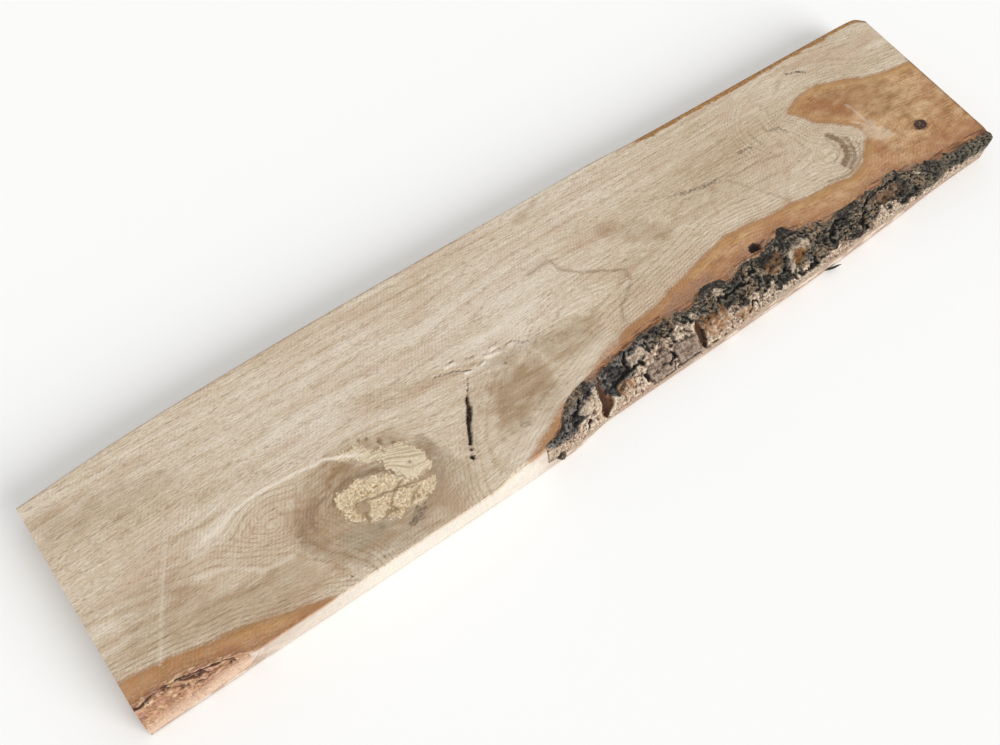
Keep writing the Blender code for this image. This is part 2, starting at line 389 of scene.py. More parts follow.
# %% Outlines on the top
SAP_NEAR = [(-110, -95), (-94, -81), (-87, -78), (-80, -74), (-70, -70), (-63, -66), (-54, -62),
            (-48, -61), (-38, -58), (-28, -56), (-20, -53), (-8, -48), (5, -44), (13, -44),
            (22, -41), (31, -40), (40, -39), (50, -38), (60, -36), (70, -33), (79, -32),
            (90, -29), (102, -27), (110, -25), (120, -23), (128, -21), (141, -22), (154, -23),
            (172, -26), (192, -27), (211, -30), (230, -31), (249, -35), (258, -33), (268, -30),
            (276, -22), (286, -15), (289, -10), (289, -3), (282, 4), (273, 12), (263, 19),
            (257, 31), (250, 38), (260, 43), (270, 46), (282, 48), (296, 45), (314, 39),
            (329, 32), (347, 27), (371, 23), (420, 20), (420, -120), (-110, -120)]
SAP_LEFT = [(-420, -56), (-373, -57), (-357, -59), (-339, -62), (-320, -67), (-303, -69),
            (-282, -75), (-261, -81), (-249, -84), (-235, -92), (-235, -120), (-420, -120)]
KNOT_MAIN = [(-209, -30), (-197, -30), (-187, -31), (-174, -36), (-170, -44), (-163, -51), (-153, -55),
             (-152, -60), (-161, -64), (-172, -66), (-186, -65), (-203, -58), (-211, -49), (-214, -37)]
KNOT_LOBE = [(-165, -21), (-156, -24), (-152, -30), (-147, -38), (-147, -47), (-155, -51), (-164, -50),
             (-170, -42), (-174, -33), (-171, -26)]
KNOT_BAND = [(-199, -9), (-190, -7), (-182, -9), (-177, -13), (-174, -18), (-168, -17), (-167, -20),
             (-173, -28), (-181, -23), (-189, -15)]
EYE, KNOT, SWIRL = (-252.0, -20.0), (-184.0, -46.0), (250.0, -10.0)
PIN_KNOT, CURLY = (333.0, -29.0), (5.0, -8.0)
CRACK = [(-91, -8), (-99, -18), (-102, -23), (-106, -30), (-112, -39), (-120, -52), (-121, -54), (-124, -59)]
CHECKS = [[(-101, 6), (-92, 5), (-82, 2), (-72, -2), (-63, -4), (-52, -3), (-47, -8), (-41, -10)],
          [(-112, 4), (-103, 1), (-94, -3), (-86, -6), (-79, -6), (-75, -5)],
          [(-68, 1), (-58, 1)]]
BARK_PIT = (143.0, -41.5)
print("sapwood, knot, crack and", len(CHECKS), "checks")

# %% [markdown]
# Smaller marks go into three lists, one for each way to give a place: along a line, inside an outline, or
# round a point. Each entry also names the field that it marks, such as brown stain or pale torn fibres.

# %% Lines, patches and dots
# Each line: its field, strength, half width and soft edge in mm, and its points
LINES = [
    ("pale", 0.80, 0.9, 1.0, [(-292, -10), (-285, -9), (-277, -6), (-270, -4), (-255, -2), (-237, -2),
                              (-220, -4), (-203, -6), (-191, -11), (-182, -16)]),
    ("pale", 0.40, 3.0, 4.0, [(-300, -14), (-285, -9), (-277, -6)]),
    ("pale", 0.35, 1.2, 1.5, [(-308, -28), (-296, -31), (-285, -35), (-273, -47), (-265, -48), (-253, -49)]),
    ("pale", 0.35, 1.5, 2.0, [(-75, 12), (-63, 10), (-51, 10), (-40, 11), (-23, 12)]),
    ("pale", 0.25, 6.0, 6.0, [(-98, -75), (-68, -62), (-46, -56), (-20, -49), (3, -42)]),
    ("pale", 0.38, 0.7, 1.3, [(-311, 4), (-334, -33), (-350, -62)]),
    ("pale", 0.30, 0.5, 1.8, [(297, 18), (299, 8), (298, -2)]),
    ("pale", 0.45, 0.4, 1.2, [(288, 4), (294, -3), (301, -12), (309, -25)]),
    ("pale", 0.30, 0.3, 1.6, [(284, -4), (290, -12), (296, -22)]),
    ("umber", 0.50, 2.0, 3.4, [(-223, -28), (-230, -31), (-236, -34), (-241, -40), (-242, -47)]),
    ("umber", 0.50, 1.0, 1.4, [(-217, -28), (-224, -30), (-230, -34), (-233, -40), (-232, -44)]),
    ("umber", 0.22, 3.0, 5.0, [(-242, -47), (-236, -60), (-222, -72), (-205, -80)]),
    ("umber", 0.18, 3.0, 7.0, [(-205, -80), (-180, -79), (-160, -70), (-145, -58), (-140, -45)]),
    ("umber", 0.75, 1.4, 2.4, [(-213, -35), (-208, -29), (-197, -27), (-186, -29), (-176, -32), (-172, -38)]),
    ("umber", 0.55, 1.6, 2.0, [(-171, -19), (-174, -26), (-172, -33)]),
    ("umber", 0.45, 3.0, 4.0, [(-144, -30), (-142, -40), (-144, -50), (-150, -57)]),
    ("umber", 0.52, 0.8, 1.2, [(-9, 33), (5, 34), (10, 35), (13, 23), (22, 14), (40, 4), (51, -3), (50, -12),
                               (41, -18), (30, -25), (24, -34)]),
    ("umber", 0.85, 1.3, 1.8, [(-103, -25), (-106, -31), (-109, -35)]),
    ("umber", 0.25, 0.9, 1.2, [(167, 16), (178, 0), (193, -23)]),
    ("umber", 0.12, 2.0, 3.0, [(217, 29), (191, -2)]),
    ("umber", 0.22, 2.5, 3.0, [(-75, -10), (-40, -12), (-9, -22)]),
    ("umber", 1.00, 2.5, 1.0, [(263, 4), (267, -4), (266, -12), (262, -19), (254, -23)]),
    ("umber", 0.85, 1.6, 0.9, [(273, -6), (271, -15), (266, -23), (255, -29)]),
    ("umber", 0.55, 0.9, 0.9, [(278, -13), (272, -24), (262, -30), (250, -32), (232, -29)]),
    ("umber", 0.40, 0.8, 0.8, [(259, 2), (260, -8), (255, -15), (247, -18)]),
    ("umber", 0.70, 0.7, 1.8, [(374.5, 26), (375, 0), (375, -40), (374, -68)]),
    ("rust", 0.25, 1.8, 2.0, [(218, 5), (206, -10), (193, -24)]),
    ("rust", 0.30, 1.2, 1.5, [(156, 19), (145, 8), (140, -3), (144, -8)]),
    ("seam", 0.75, 0.4, 1.1, [(-170, -46), (-177, -49), (-183, -47), (-190, -46), (-196, -44), (-203, -43)]),
    ("seam", 0.70, 0.4, 1.1, [(-144, -54), (-157, -53), (-166, -51), (-172, -50), (-178, -48)]),
    ("seam", 0.70, 0.5, 0.9, [(-176, -49), (-181, -52), (-185, -57), (-183, -62)]),
    ("seam", 0.70, 0.8, 1.0, [(-201, -51), (-202, -57), (-205, -60)]),
    ("seam", 0.60, 0.7, 1.0, [(-195, -61), (-188, -59), (-183, -61)]),
    ("seam", 0.60, 0.5, 0.9, [(-163, -55), (-170, -58), (-174, -63)]),
    ("dark", 0.45, 0.9, 0.9, [(277, 69), (284, 66)]),
    ("dark", 0.50, 1.0, 0.9, [(286, 66), (293, 62)]),
    ("dark", 0.40, 0.9, 1.0, [(226, 33), (235, 32), (238, 24)]),
    ("dark", 0.45, 0.9, 1.0, [(191, 31), (204, 29)]),
    ("dark", 0.40, 1.1, 1.5, [(128, 26), (145, 22), (161, 20)]),
    ("dark", 0.18, 0.9, 1.2, [(100, 36), (128, 26)]),
    ("dark", 0.35, 1.6, 1.5, [(-83, -59), (-79, -61)]),
    ("dark", 0.70, 0.7, 0.9, [(146, -42), (153, -40)]),
    ("dark", 0.80, 0.9, 0.9, [(142, -43), (139, -49), (134, -53)]),
]
# Each patch: its field, strength, soft edge and wobble in mm, and its outline
PATCHES = [
    ("brown", 1.00, 3.0, 2.0, [(-202, -12), (-191, -17), (-182, -24), (-176, -32), (-184, -32), (-198, -28),
                               (-213, -29), (-212, -20)]),
    ("brown", 0.70, 14.0, 5.0, [(-248, -30), (-225, -12), (-195, -4), (-160, -12), (-138, -32), (-134, -56),
                                (-150, -72), (-185, -82), (-225, -76), (-245, -52)]),
    ("dark", 0.40, 2.5, 1.5, [(-165, -66), (-167, -71), (-175, -74), (-183, -76), (-184, -72), (-177, -69),
                              (-172, -65)]),
    ("seam", 0.50, 2.0, 2.0, [(-206, -44), (-199, -43), (-194, -47), (-196, -52), (-203, -53), (-207, -49)]),
    ("grey", 0.65, 5.0, 3.0, [(-226, -58), (-215, -55), (-200, -60), (-190, -67), (-204, -72), (-220, -68)]),
    ("grey", 0.60, 4.0, 2.0, [(-205, -60), (-196, -61), (-192, -66), (-201, -67)]),
    ("brown", 0.72, 18.0, 8.0, [(-99, -32), (-84, -17), (-60, -11), (-40, -24), (-38, -46), (-56, -61),
                                (-78, -67), (-97, -60)]),
    ("brown", 0.45, 14.0, 6.0, [(-40, -12), (-12, -10), (12, -18), (4, -34), (-26, -42), (-42, -30)]),
    ("brown", 0.34, 14.0, 5.0, [(-374, -52), (-345, -12), (-316, -14), (-300, -44), (-250, -50), (-236, -80),
                                (-290, -74)]),
    ("brown", 0.32, 10.0, 5.0, [(-376, 64), (-333, 60), (-296, 50), (-272, 36), (-320, 32), (-376, 38)]),
    ("brown", 0.50, 8.0, 4.0, [(-150, -38), (-138, -42), (-127, -70), (-150, -86), (-178, -86), (-160, -72)]),
    ("brown", 0.40, 10.0, 4.0, [(262, 38), (300, 42), (340, 28), (350, -4), (332, -20), (300, 4), (275, 14)]),
    ("brown", 0.42, 8.0, 4.0, [(51, 41), (66, 38), (90, 22), (106, 4), (96, 0), (72, 12), (54, 28)]),
    ("pale", 0.32, 6.0, 4.0, [(302, -2), (307, -12), (311, -27), (294, -24), (284, -14), (290, -2)]),
    ("rust", 0.75, 3.0, 2.5, [(284, -16), (291, -19), (295, -28), (288, -38), (282, -36), (283, -26)]),
    ("rust", 0.60, 5.0, 4.0, [(256, 38), (268, 42), (284, 36), (300, 24), (304, 8), (290, 10), (276, 16),
                              (262, 26)]),
    ("rust", 0.30, 8.0, 4.0, [(345, -20), (375, -10), (375, -70), (330, -62), (318, -50)]),
    ("mauve", 0.60, 4.0, 3.0, [(52, -46), (66, -38), (84, -36), (100, -40), (104, -52), (84, -50),
                               (66, -54)]),
    ("mauve", 0.70, 3.0, 3.0, [(118, -50), (126, -40), (140, -36), (156, -40), (158, -52), (140, -56)]),
    ("mauve", 0.30, 3.0, 3.0, [(-56, -72), (-44, -63), (-32, -60), (-24, -64), (-44, -72)]),
    ("brown", 0.35, 5.0, 3.0, [(24, 84), (36, 82), (30, 76), (14, 70), (8, 74)]),
]
# Small round marks: field, strength, radius, place
DOTS = [("umber", 0.9, 1.3, (-178, -7)), ("umber", 0.9, 1.2, (-173, -9)), ("umber", 0.9, 2.2, (-167, -15)),
        ("umber", 0.9, 1.6, (-160, -21)), ("umber", 0.7, 2.2, (-198, -65)), ("umber", 0.8, 1.2, (-207, -82)),
        ("dark", 0.5, 1.3, (-220, -80)), ("dark", 0.5, 1.2, (-231, -81)), ("dark", 0.6, 1.3, (-65, -15)),
        ("dark", 0.5, 1.2, (-42, 41)), ("dark", 0.9, 1.6, (-124, -59)), ("dark", 1.0, 5.2, BARK_PIT),
        ("seam", 0.7, 1.2, (-159, -38))]
print(len(LINES), "lines,", len(PATCHES), "patches and", len(DOTS), "dots on the top")

# %% [markdown]
# Rough sawing leaves a faint unevenness all over. The skin's own points are moved, so the marks are
# there in the mesh as well as in the picture.

# %% Crack, knot and checks as masks
# Half its width in mm along its length, from 0 to 1; below 0 the crack is closed
CRACK_HALVES = [(0.0, 0.1), (0.24, 0.2), (0.27, 1.1), (0.34, 1.2), (0.37, 0.8), (0.40, 1.5), (0.60, 1.6),
                (0.84, 1.3), (0.85, -1.0), (0.875, -1.0), (0.885, 1.0), (0.91, 0.9), (0.92, -1.0),
                (0.955, -1.0), (0.965, 1.2), (1.0, 1.3)]
# In mm: how far the line between heart and sap wanders on its way down, the half width of a check, the
# half width of the chips beside it, and how far across they stand, towards the near edge where below 0
SAP_WANDER, CHECK_HALF, CHIP_HALF, CHIP_SHIFT = 26.0, 0.7, 2.0, -1.9

below = THICKNESS - points[:, 2]
top_share = ramp(below, 1.0, 0.01)
level = points + [0.0, 0.9, 0.0] * below[:, None]
level[:, 1] += ramp(below, 2.0, THICKNESS) * SAP_WANDER * lumps(points, (70.0, 60.0, 60.0), 20)
wobble = np.stack([lumps(points, 6.0, 1), lumps(points, 6.0, 2), 0 * below], axis=1)

crack_mm, crack_at = line_distance(points + 0.7 * wobble, CRACK)
ragged = 0.8 * lumps(points, 2.4, 4) + 0.5 * lumps(points, 1.2, 5)
crack_half = np.interp(crack_at, *zip(*CRACK_HALVES))
crack = ramp(crack_half * (1 + 0.45 * ragged) - crack_mm, -0.3, 0.6)
nudged = points + 0.6 * wobble
lobe_mm = np.maximum(depth_inside(nudged, KNOT_LOBE), depth_inside(nudged, KNOT_BAND))
knot_mm = np.maximum(depth_inside(points + 0.8 * wobble, KNOT_MAIN), lobe_mm)
torn = ramp(knot_mm + 1.5 * lumps(points, 3.0, 8), -0.5, 1.2)
lobe = ramp(lobe_mm, -1.0, 2.0)

chips, groove = np.zeros(len(points)), np.zeros(len(points))
for k, check in enumerate(CHECKS):
    bent = points + 1.1 * wobble
    broken = ramp(lumps(points, (7.0, 4.0, 9.0), 50 + k), -0.8, -0.3)
    groove = np.maximum(groove, broken * ramp(CHECK_HALF - line_distance(bent, check)[0], -0.1, 0.6))
    beside = line_distance(bent, np.array(check) + [0.0, CHIP_SHIFT])[0]
    standing = ramp(lumps(points, (6.0, 3.0, 9.0), 30 + k), -0.3, 0.2)
    chips = np.maximum(chips, ramp(CHIP_HALF - beside, 0.0, 1.0) * standing)
print("points in the crack:", int((crack > 0.5).sum()), "and in the torn knot:", int((torn > 0.5).sum()))

# %% [markdown]
# The heights of all the marks are added up in millimetres. Only points on the top move, and only up or
# down, so the outline of the board stays as the CAD model has it.

# %% Relief of the top
CRACK_DEPTH, PIT_DEPTH, PIT_RADIUS = 3.5, 4.5, 4.2

height = 0.05 * lumps(points, (30.0, 4.0, 9.0), 6) + 0.04 * lumps(points, (7.0, 1.6, 9.0), 7)
torn_fibres = 0.35 * lumps(points, (3.0, 2.2, 9.0), 9) + 0.22 * lumps(points, 1.5, 10) - 0.3
height += torn * (1 - 0.6 * lobe) * torn_fibres
height += 0.5 * chips - 0.7 * groove + 0.4 * bump_at(points, PIN_KNOT, 6.0) - CRACK_DEPTH * crack
pit = ramp(PIT_RADIUS - np.hypot(*((points + 0.9 * wobble)[:, :2] - BARK_PIT).T), -1.0, 1.5)
height -= PIT_DEPTH * pit
points[:, 2] += height * top_share
print("deepest mark:", round(float(height.min()), 2), "mm")

# %% [markdown]
# Oak is the same all the way through, so its grain is a field inside the solid. Rings lie round a pith
# under the board, bend along the edge of the sapwood and stand up in cones round the knots. Fibres
# run along the board and part round each knot, as water parts round a stone. Each point of the skin gets
# its place in that field as an attribute, and the material reads it: so top, sides and ends agree.

# %% Grain fields
PITH = (17.0, -84.0)
# The rings' distance from the pith where the sapwood starts, and the circle that rays are measured on
SAP_RING, RAY_CIRCLE = 122.0, 120.0
# Fibres part over a longer way along the board than across it
KNOT_STRETCH = (0.8, 1.0)
# Each knot: its place, the radius that fibres part round and how far its rings rise, in mm, and how
# strongly the fibres part
KNOTS = [(EYE, 15.0, 9.0, 0.8), (KNOT, 27.0, 14.0, 0.8), (SWIRL, 14.0, 2.0, 0.8), (PIN_KNOT, 7.0, 3.0, 0.8),
         (CURLY, 20.0, 0.0, 0.3)]

sap_mm = np.maximum(depth_inside(level, SAP_NEAR), depth_inside(level, SAP_LEFT))
slow = lumps(points, (110.0, 45.0, 45.0), 11)
arc = points[:, 1:] - PITH
round_pith = np.hypot(*arc.T)
toward_sap = ramp(-sap_mm, 12.0, 55.0)
ring_mm = (1 - toward_sap) * (sap_mm + SAP_RING) + toward_sap * round_pith + 3.0 * slow
ring_mm += 1.0 * lumps(points, (45.0, 14.0, 14.0), 12)
flow = points[:, 1] + 4.0 * slow
for centre, radius, rise, parting in KNOTS:
    offset = (points[:, :2] - centre) * KNOT_STRETCH
    away = (offset ** 2).sum(axis=1)
    ring_mm = ring_mm + rise * np.exp(-away / (1.3 * radius) ** 2)
    flow -= parting * offset[:, 1] * radius ** 2 / (away + 0.5 * radius ** 2)
wood_mm = np.stack([points[:, 0], flow, points[:, 2] + 0.4 * flow], axis=1)
ray_mm = np.stack([points[:, 0], np.arctan2(arc[:, 0], arc[:, 1]) * RAY_CIRCLE, round_pith], axis=1)
print("rings from", round(float(ring_mm.min())), "to", round(float(ring_mm.max())), "mm from the pith")

# %% [markdown]
# The same marks give the colour fields: brown heart stain, dark holes, painted shade in the crack and
# checks, pale torn fibres, a grey-green bloom, mauve inner bark and rust-coloured spots. Each is a number
# from 0 to 1 at every point.

# %% Colour fields from the marks
MARKS = ("brown", "umber", "dark", "pale", "grey", "rust", "seam", "mauve")
PIN_SIZE = (7.4, 5.8)
marks = {label: np.zeros(len(points)) for label in MARKS}
moved = points + 0.7 * wobble
for label, strength, half_width, soft, line in LINES:
    mask = eased(ramp(half_width + soft - line_distance(moved, line)[0], 0.0, soft + 0.4))
    marks[label] = np.maximum(marks[label], strength * mask)
for label, strength, soft, wave, outline in PATCHES:
    inside = depth_inside(points + 0.5 * wave * wobble, outline) + wave * lumps(points, 5.0, 13)
    marks[label] = np.maximum(marks[label], strength * eased(ramp(inside, -0.4 * soft, 0.6 * soft)))
for label, strength, radius, place in DOTS:
    gap = np.hypot(*(moved[:, :2] - place).T) * (1 + 0.3 * lumps(points, 2.6, 19))
    marks[label] = np.maximum(marks[label], strength * ramp(radius - gap, -0.6, 0.6))
marks = {label: mask * top_share for label, mask in marks.items()}
# The pin knot is dark wood, with its middle a little less dark as a painted highlight
pin_share = np.hypot(*((moved[:, :2] - PIN_KNOT) / PIN_SIZE).T)
pin = ramp(pin_share, 1.15, 0.65) * (1 - 0.1 * ramp(pin_share, 0.6, 0.2))
# The crack and the checks' grooves join the dark marks: painted shade in them
marks["dark"] = np.max([marks["dark"], 0.83 * crack * top_share, 0.88 * pin * top_share,
                        0.6 * groove * top_share], axis=0)
marks["pale"] = np.maximum(marks["pale"], 0.9 * chips * top_share * (1 - groove))
beside_crack = ramp(6.0 - crack_mm, 0.0, 5.0) * ramp(crack_at, 0.1, 0.3) * top_share
patchy = 0.6 + 0.4 * lumps(points, (5.0, 2.5, 9.0), 18)
marks["umber"] = np.maximum(marks["umber"], 0.35 * beside_crack * patchy)
print("fields:", ", ".join(marks))

# %% [markdown]
# The broad tone runs from pale cream to brown over a hand's width, as it does in every slab. More fields
# say where the strip of inner bark is left on the far edge, where rings show most, how near the bark is,
# which faces the saw has just opened, and where those are stained brown under the bark. Sawn faces are
# cleaner and paler than the weathered top, and the near side, which faces the light, is painted paler still:
# painted light.

# %% Broad tone and edges
# Each patch of tone: its centre and size in mm, and how much darker it is, or lighter where below 0
TONE_PATCHES = [((-330, 20), (60, 60), 0.02), ((-290, -60), (60, 26), 0.24), ((-180, 25), (80, 30), -0.20),
                ((-60, 25), (60, 30), -0.26), ((60, 40), (50, 25), 0.03), ((180, 24), (66, 34), 0.34),
                ((30, 5), (40, 22), 0.10), ((90, 70), (90, 16), -0.05), ((325, 55), (50, 22), 0.14)]
# The inner bark on the far edge, in mm: the stations that it fades in between, its width on the top, and
# the depths down the side that it fades out between
BAST_START, BAST_WIDTH, BAST_DOWN = (118.0, 136.0), 4.8, (9, 5)

tone = 0.36 + 0.10 * lumps(points, (70.0, 22.0, 20.0), 16)
for centre, size, change in TONE_PATCHES:
    tone += change * bump_at(points, centre, np.array(size, float))
far_mm = np.interp(points[:, 0], stations, tops[:, 0, 0]) - points[:, 1]
bast = ramp(points[:, 0] + 10.0 * lumps(points, 14.0, 14), *BAST_START)
bast *= ramp(BAST_WIDTH + 1.2 * lumps(points, 7.0, 15) + 0.5 * lumps(points, 2.5, 17) - far_mm, 0.0, 0.7)
bast *= ramp(points[:, 2], THICKNESS - BAST_DOWN[0], THICKNESS - BAST_DOWN[1])
ringed = ramp(sap_mm, -50.0, -10.0) * (0.06 + 0.94 * ramp(points[:, 1], 8.0, -10.0))
near_mm = points[:, 1] - np.interp(points[:, 0], stations, tops[:, -(WANE_STEPS + 2), 0])
near_side = ramp(points[:, 2], 0.0, 2.0) * ramp(-points[:, 1], 40.0, 60.0)
off_ends = ramp(np.abs(points[:, 0]), LENGTH / 2 - 0.1, LENGTH / 2 - 1)
# Sawn side faces are paler; on the near side, which faces the light, most of the paleness is painted light
sawn_pale_and_lit = ramp(below, 1.0, 3.0) * off_ends * (0.3 + 0.7 * near_side)
by_corner = 0.35 * ramp(-points[:, 0], 215.0, 285.0) + 0.6 * ramp(-points[:, 0], 285.0, 306.0)
foot = near_side * sawn_pale_and_lit * np.maximum(ramp(points[:, 0], -90.0, -60.0), by_corner)
print("tone from", round(float(tone.min()), 2), "to", round(float(tone.max()), 2))

# %% [markdown]
# One helper turns points, faces and fields into a mesh object. Fields are kept as attributes on the points,
# where a material can read them by name. Normals are smooth, apart from edges sharper than an angle.

# %% The wood as a mesh
def make_piece(name, points, faces, fields, sharp=35.0):
    """A mesh object from points in mm and faces, with fields kept on its points."""
    mesh = bpy.data.meshes.new(name)
    mesh.from_pydata((points * MM).tolist(), [], faces)
    for label, values in fields.items():
        kind = "FLOAT_VECTOR" if values.ndim == 2 else "FLOAT"
        layer = mesh.attributes.new(label, kind, "POINT")
        layer.data.foreach_set("vector" if values.ndim == 2 else "value", values.astype(np.float32).ravel())
    mesh.shade_smooth()
    mesh.set_sharp_from_angle(angle=math.radians(sharp))
    piece = bpy.data.objects.new(name, mesh)
    bpy.context.scene.collection.objects.link(piece)
    mesh.update()
    mesh.calc_loop_triangles()
    print(name, len(mesh.loop_triangles), "triangles")
    return piece


wood_fields = {"ring_mm": ring_mm, "sap_mm": sap_mm, "tone": tone, "bast": bast, "ringed": ringed,
               "near_mm": near_mm, "sawn_pale_and_lit": sawn_pale_and_lit, "foot": foot, "lobe": lobe,
               "knot_mm": np.where(below < 4, knot_mm, -9.0), **marks}
wood = make_piece("oak_board_grain", points, faces, {"wood_mm": wood_mm, "ray_mm": ray_mm, **wood_fields})

# %% [markdown]
# Three recipes serve every material here. One makes noise patterns, each stretched to the size of its
# lumps. One adds up values, each first stretched over its own range. The last lays colours over a colour,
# the way a finisher lays glazes, each held to where its limits allow.

# %% Recipes for patterns, values and colours
def patterned(tree, where, unit, table):
    """Noise patterns by name. Each has the size of its lumps in mm along three axes, and its detail."""
    found = {}
    for name, sizes, detail in table:
        per_unit = [1 / unit / size for size in sizes]
        scaled = add(tree, "ShaderNodeVectorMath", {0: where, 1: per_unit}, operation="MULTIPLY")["Vector"]
        found[name] = add(tree, "ShaderNodeTexNoise",
                          {"Vector": scaled, "Scale": 1.0, "Detail": detail})["Fac"]
    return found


def summed(tree, parts):
    """Add up values. Each part is a value, its low and high end, and what it gives at those ends."""
    total = 0.0
    for value, low, high, at_low, at_high in parts:
        stretch = {"Value": value, 1: low, 2: high, 3: at_low, 4: at_high}
        part = add(tree, "ShaderNodeMapRange", stretch)["Result"]
        total = add(tree, "ShaderNodeMath", {0: part, 1: total}, operation="ADD")[0]
    return total


def layered(tree, colour, layers):
    """Lay colours over a colour. Each has a strength, and limits: values with the range they climb in."""
    for laid, strength, *limits in layers:
        share = strength
        for value, low, high, *ends in limits:
            at_low, at_high = ends or (0.0, 1.0)
            stretch = {"Value": value, 1: low, 2: high, 3: at_low, 4: at_high}
            part = add(tree, "ShaderNodeMapRange", stretch)["Result"]
            share = add(tree, "ShaderNodeMath", {0: part, 1: share}, operation="MULTIPLY")[0]
        under, over = (linear(c) if isinstance(c, str) else c for c in (colour, laid))
        colour = add(tree, "ShaderNodeMix", {0: share, 6: under, 7: over}, data_type="RGBA")[2]
    return colour


print("recipes ready")

# %% [markdown]
# The finish is sawn European oak, dry and unoiled. Its heartwood is a pale tan and its sapwood, next to
# the bark, orange-brown. Bare sawn wood scatters light in its torn fibres, so it has no shine: its
# roughness is high, and its IOR is that of cellulose and lignin, about 1.5. The sizes come from the wood:
# spring growth has pores about 0.3 mm wide and some 5 mm long, which are drawn twice as wide here because
# finer ones would not show. Growth rings are 2.6 mm apart, and a band saw left lines every 2.3 mm.

# %% Sawn oak: its patterns
RING_WIDTH = 2.6
# Spans in mm that the two waves are stretched over: rings from 0, saw lines to both sides of the middle
RING_REACH, SAW_REACH = 400, 500
SAW_PITCH, SAW_SLANT = 2.3, (0.83, -0.55, 0.0)

# For each finish, t is its node tree, f holds its fields from the mesh, and n its noise patterns
oak, t, shader = new_finish("sawn_oak", 0.75)
grain = add(t, "ShaderNodeAttribute", attribute_name="wood_mm")["Vector"]
rays = add(t, "ShaderNodeAttribute", attribute_name="ray_mm")["Vector"]
place = add(t, "ShaderNodeTexCoord")["Object"]
solid = add(t, "ShaderNodeVectorMath", {0: place, 1: (1 / MM,) * 3}, operation="MULTIPLY")["Vector"]
f = {label: add(t, "ShaderNodeAttribute", attribute_name=label)["Fac"] for label in wood_fields}

n = patterned(t, grain, 1, [
    ("broad", (150, 15, 15), 2.0), ("streak", (42, 1.0, 1.0), 4.0), ("fibre", (11, 0.7, 0.7), 3.0),
    ("pore", (5.0, 0.62, 0.62), 1.0), ("fuzz", (2.2, 1.1, 1.1), 3.0), ("mottle", (14, 7, 7), 3.0),
    ("zone", (55, 26, 26), 1.0), ("blush", (60, 24, 24), 2.0)])
n |= patterned(t, rays, 1, [("ray", (6.0, 0.8, 22.0), 1.0)])
n |= patterned(t, solid, 1, [("tuft", (1.5, 1.5, 1.5), 3.0), ("clump", (6.0, 6.0, 6.0), 2.0)])
print("patterns:", ", ".join(n))

# %% [markdown]
# Growth rings and saw lines are waves, so each is the sine of a distance. The rings' distance is the ring
# field with a slow wander. The saw's is measured across its slant, with some fuzz, and it only shows in
# zones, because the blade cut more cleanly in between. One turn of a wave is one ring or one saw line.

# %% Sawn oak: rings and saw lines
ring_turn = 2 * math.pi * RING_REACH / RING_WIDTH
ring_angle = summed(t, [(f["ring_mm"], 0, RING_REACH, 0, ring_turn), (n["broad"], 0, 1, 0, 5)])
ring_wave = add(t, "ShaderNodeMath", {0: ring_angle}, operation="SINE")[0]
ring_here = summed(t, [(n["zone"], 0.4, 0.62, 0.12, 0.5), (f["ringed"], 0, 1, 0, 0.3)])
spring = summed(t, [(ring_wave, -0.3, 0.9, 0.25, 1)])
ring_line = summed(t, [(ring_wave, 0.35, 1, 0, 1)])
ring_line = add(t, "ShaderNodeMath", {0: ring_line, 1: ring_here}, operation="MULTIPLY")[0]
slant = add(t, "ShaderNodeVectorMath", {0: solid, 1: SAW_SLANT}, operation="DOT_PRODUCT")["Value"]
saw_turn = 2 * math.pi * SAW_REACH / SAW_PITCH
saw_angle = summed(t, [(slant, -SAW_REACH, SAW_REACH, -saw_turn, saw_turn), (n["fuzz"], 0, 1, 0, 2.5)])
saw_wave = add(t, "ShaderNodeMath", {0: saw_angle}, operation="SINE")[0]
saw_here = summed(t, [(n["zone"], 0.42, 0.66, 0.1, 1)])
saw = add(t, "ShaderNodeMath", {0: saw_wave, 1: saw_here}, operation="MULTIPLY")[0]
print("rings every", RING_WIDTH, "mm and saw lines every", SAW_PITCH, "mm")

# %% [markdown]
# Colour is built up as in the tree. Heartwood and sapwood come first, each from a light to a dark of its
# own. Then the line between them, the darker inner bark, the pores and the bright flecks of the rays, and
# last the stains and the torn knot. Each light and dark is a little off the next in hue as well.

# %% Sawn oak: its colours
shade = summed(t, [(f["tone"], 0, 1, 0, 1), (n["broad"], 0.3, 0.7, -0.13, 0.13),
                   (n["streak"], 0.3, 0.7, -0.2, 0.2),
                   (n["fibre"], 0.3, 0.7, -0.18, 0.18), (n["fuzz"], 0.3, 0.7, -0.17, 0.17),
                   (n["mottle"], 0.3, 0.7, -0.08, 0.08), (saw, -1, 1, -0.065, 0.065),
                   (ring_line, 0, 1, 0, 0.55)])
heart = layered(t, "#E0D4C1", [("#CBB79C", 1, (shade, 0, 0.5)), ("#A78B6B", 1, (shade, 0.5, 1.1)),
                               ("#C4A58C", 0.45, (n["blush"], 0.5, 0.68))])
sap_shade = summed(t, [(n["broad"], 0.3, 0.7, 0.15, 0.5), (n["streak"], 0.3, 0.7, -0.14, 0.14),
                       (n["fibre"], 0.3, 0.7, -0.17, 0.17), (n["fuzz"], 0.3, 0.7, -0.32, 0.32),
                       (n["mottle"], 0.32, 0.68, -0.32, 0.4), (n["clump"], 0.35, 0.65, -0.15, 0.15),
                       (ring_line, 0, 1, 0, 0.3), (saw, -1, 1, -0.035, 0.035)])
sap = layered(t, "#D0AC82", [("#B88B5B", 1, (sap_shade, 0, 0.5)), ("#865734", 1, (sap_shade, 0.5, 1.1)),
                             ("#C29250", 0.55, (f["sap_mm"], 10, 2)), ("#B27E55", 0.4, (f["near_mm"], 14, 5)),
                             ("#B07A56", 0.3, (n["blush"], 0.46, 0.62))])
sap_edge = summed(t, [(f["sap_mm"], -60, 60, -60, 60), (n["fibre"], 0.3, 0.7, -0.7, 0.7),
                      (n["fuzz"], 0.3, 0.7, -0.7, 0.7), (n["mottle"], 0.3, 0.7, -0.6, 0.6)])
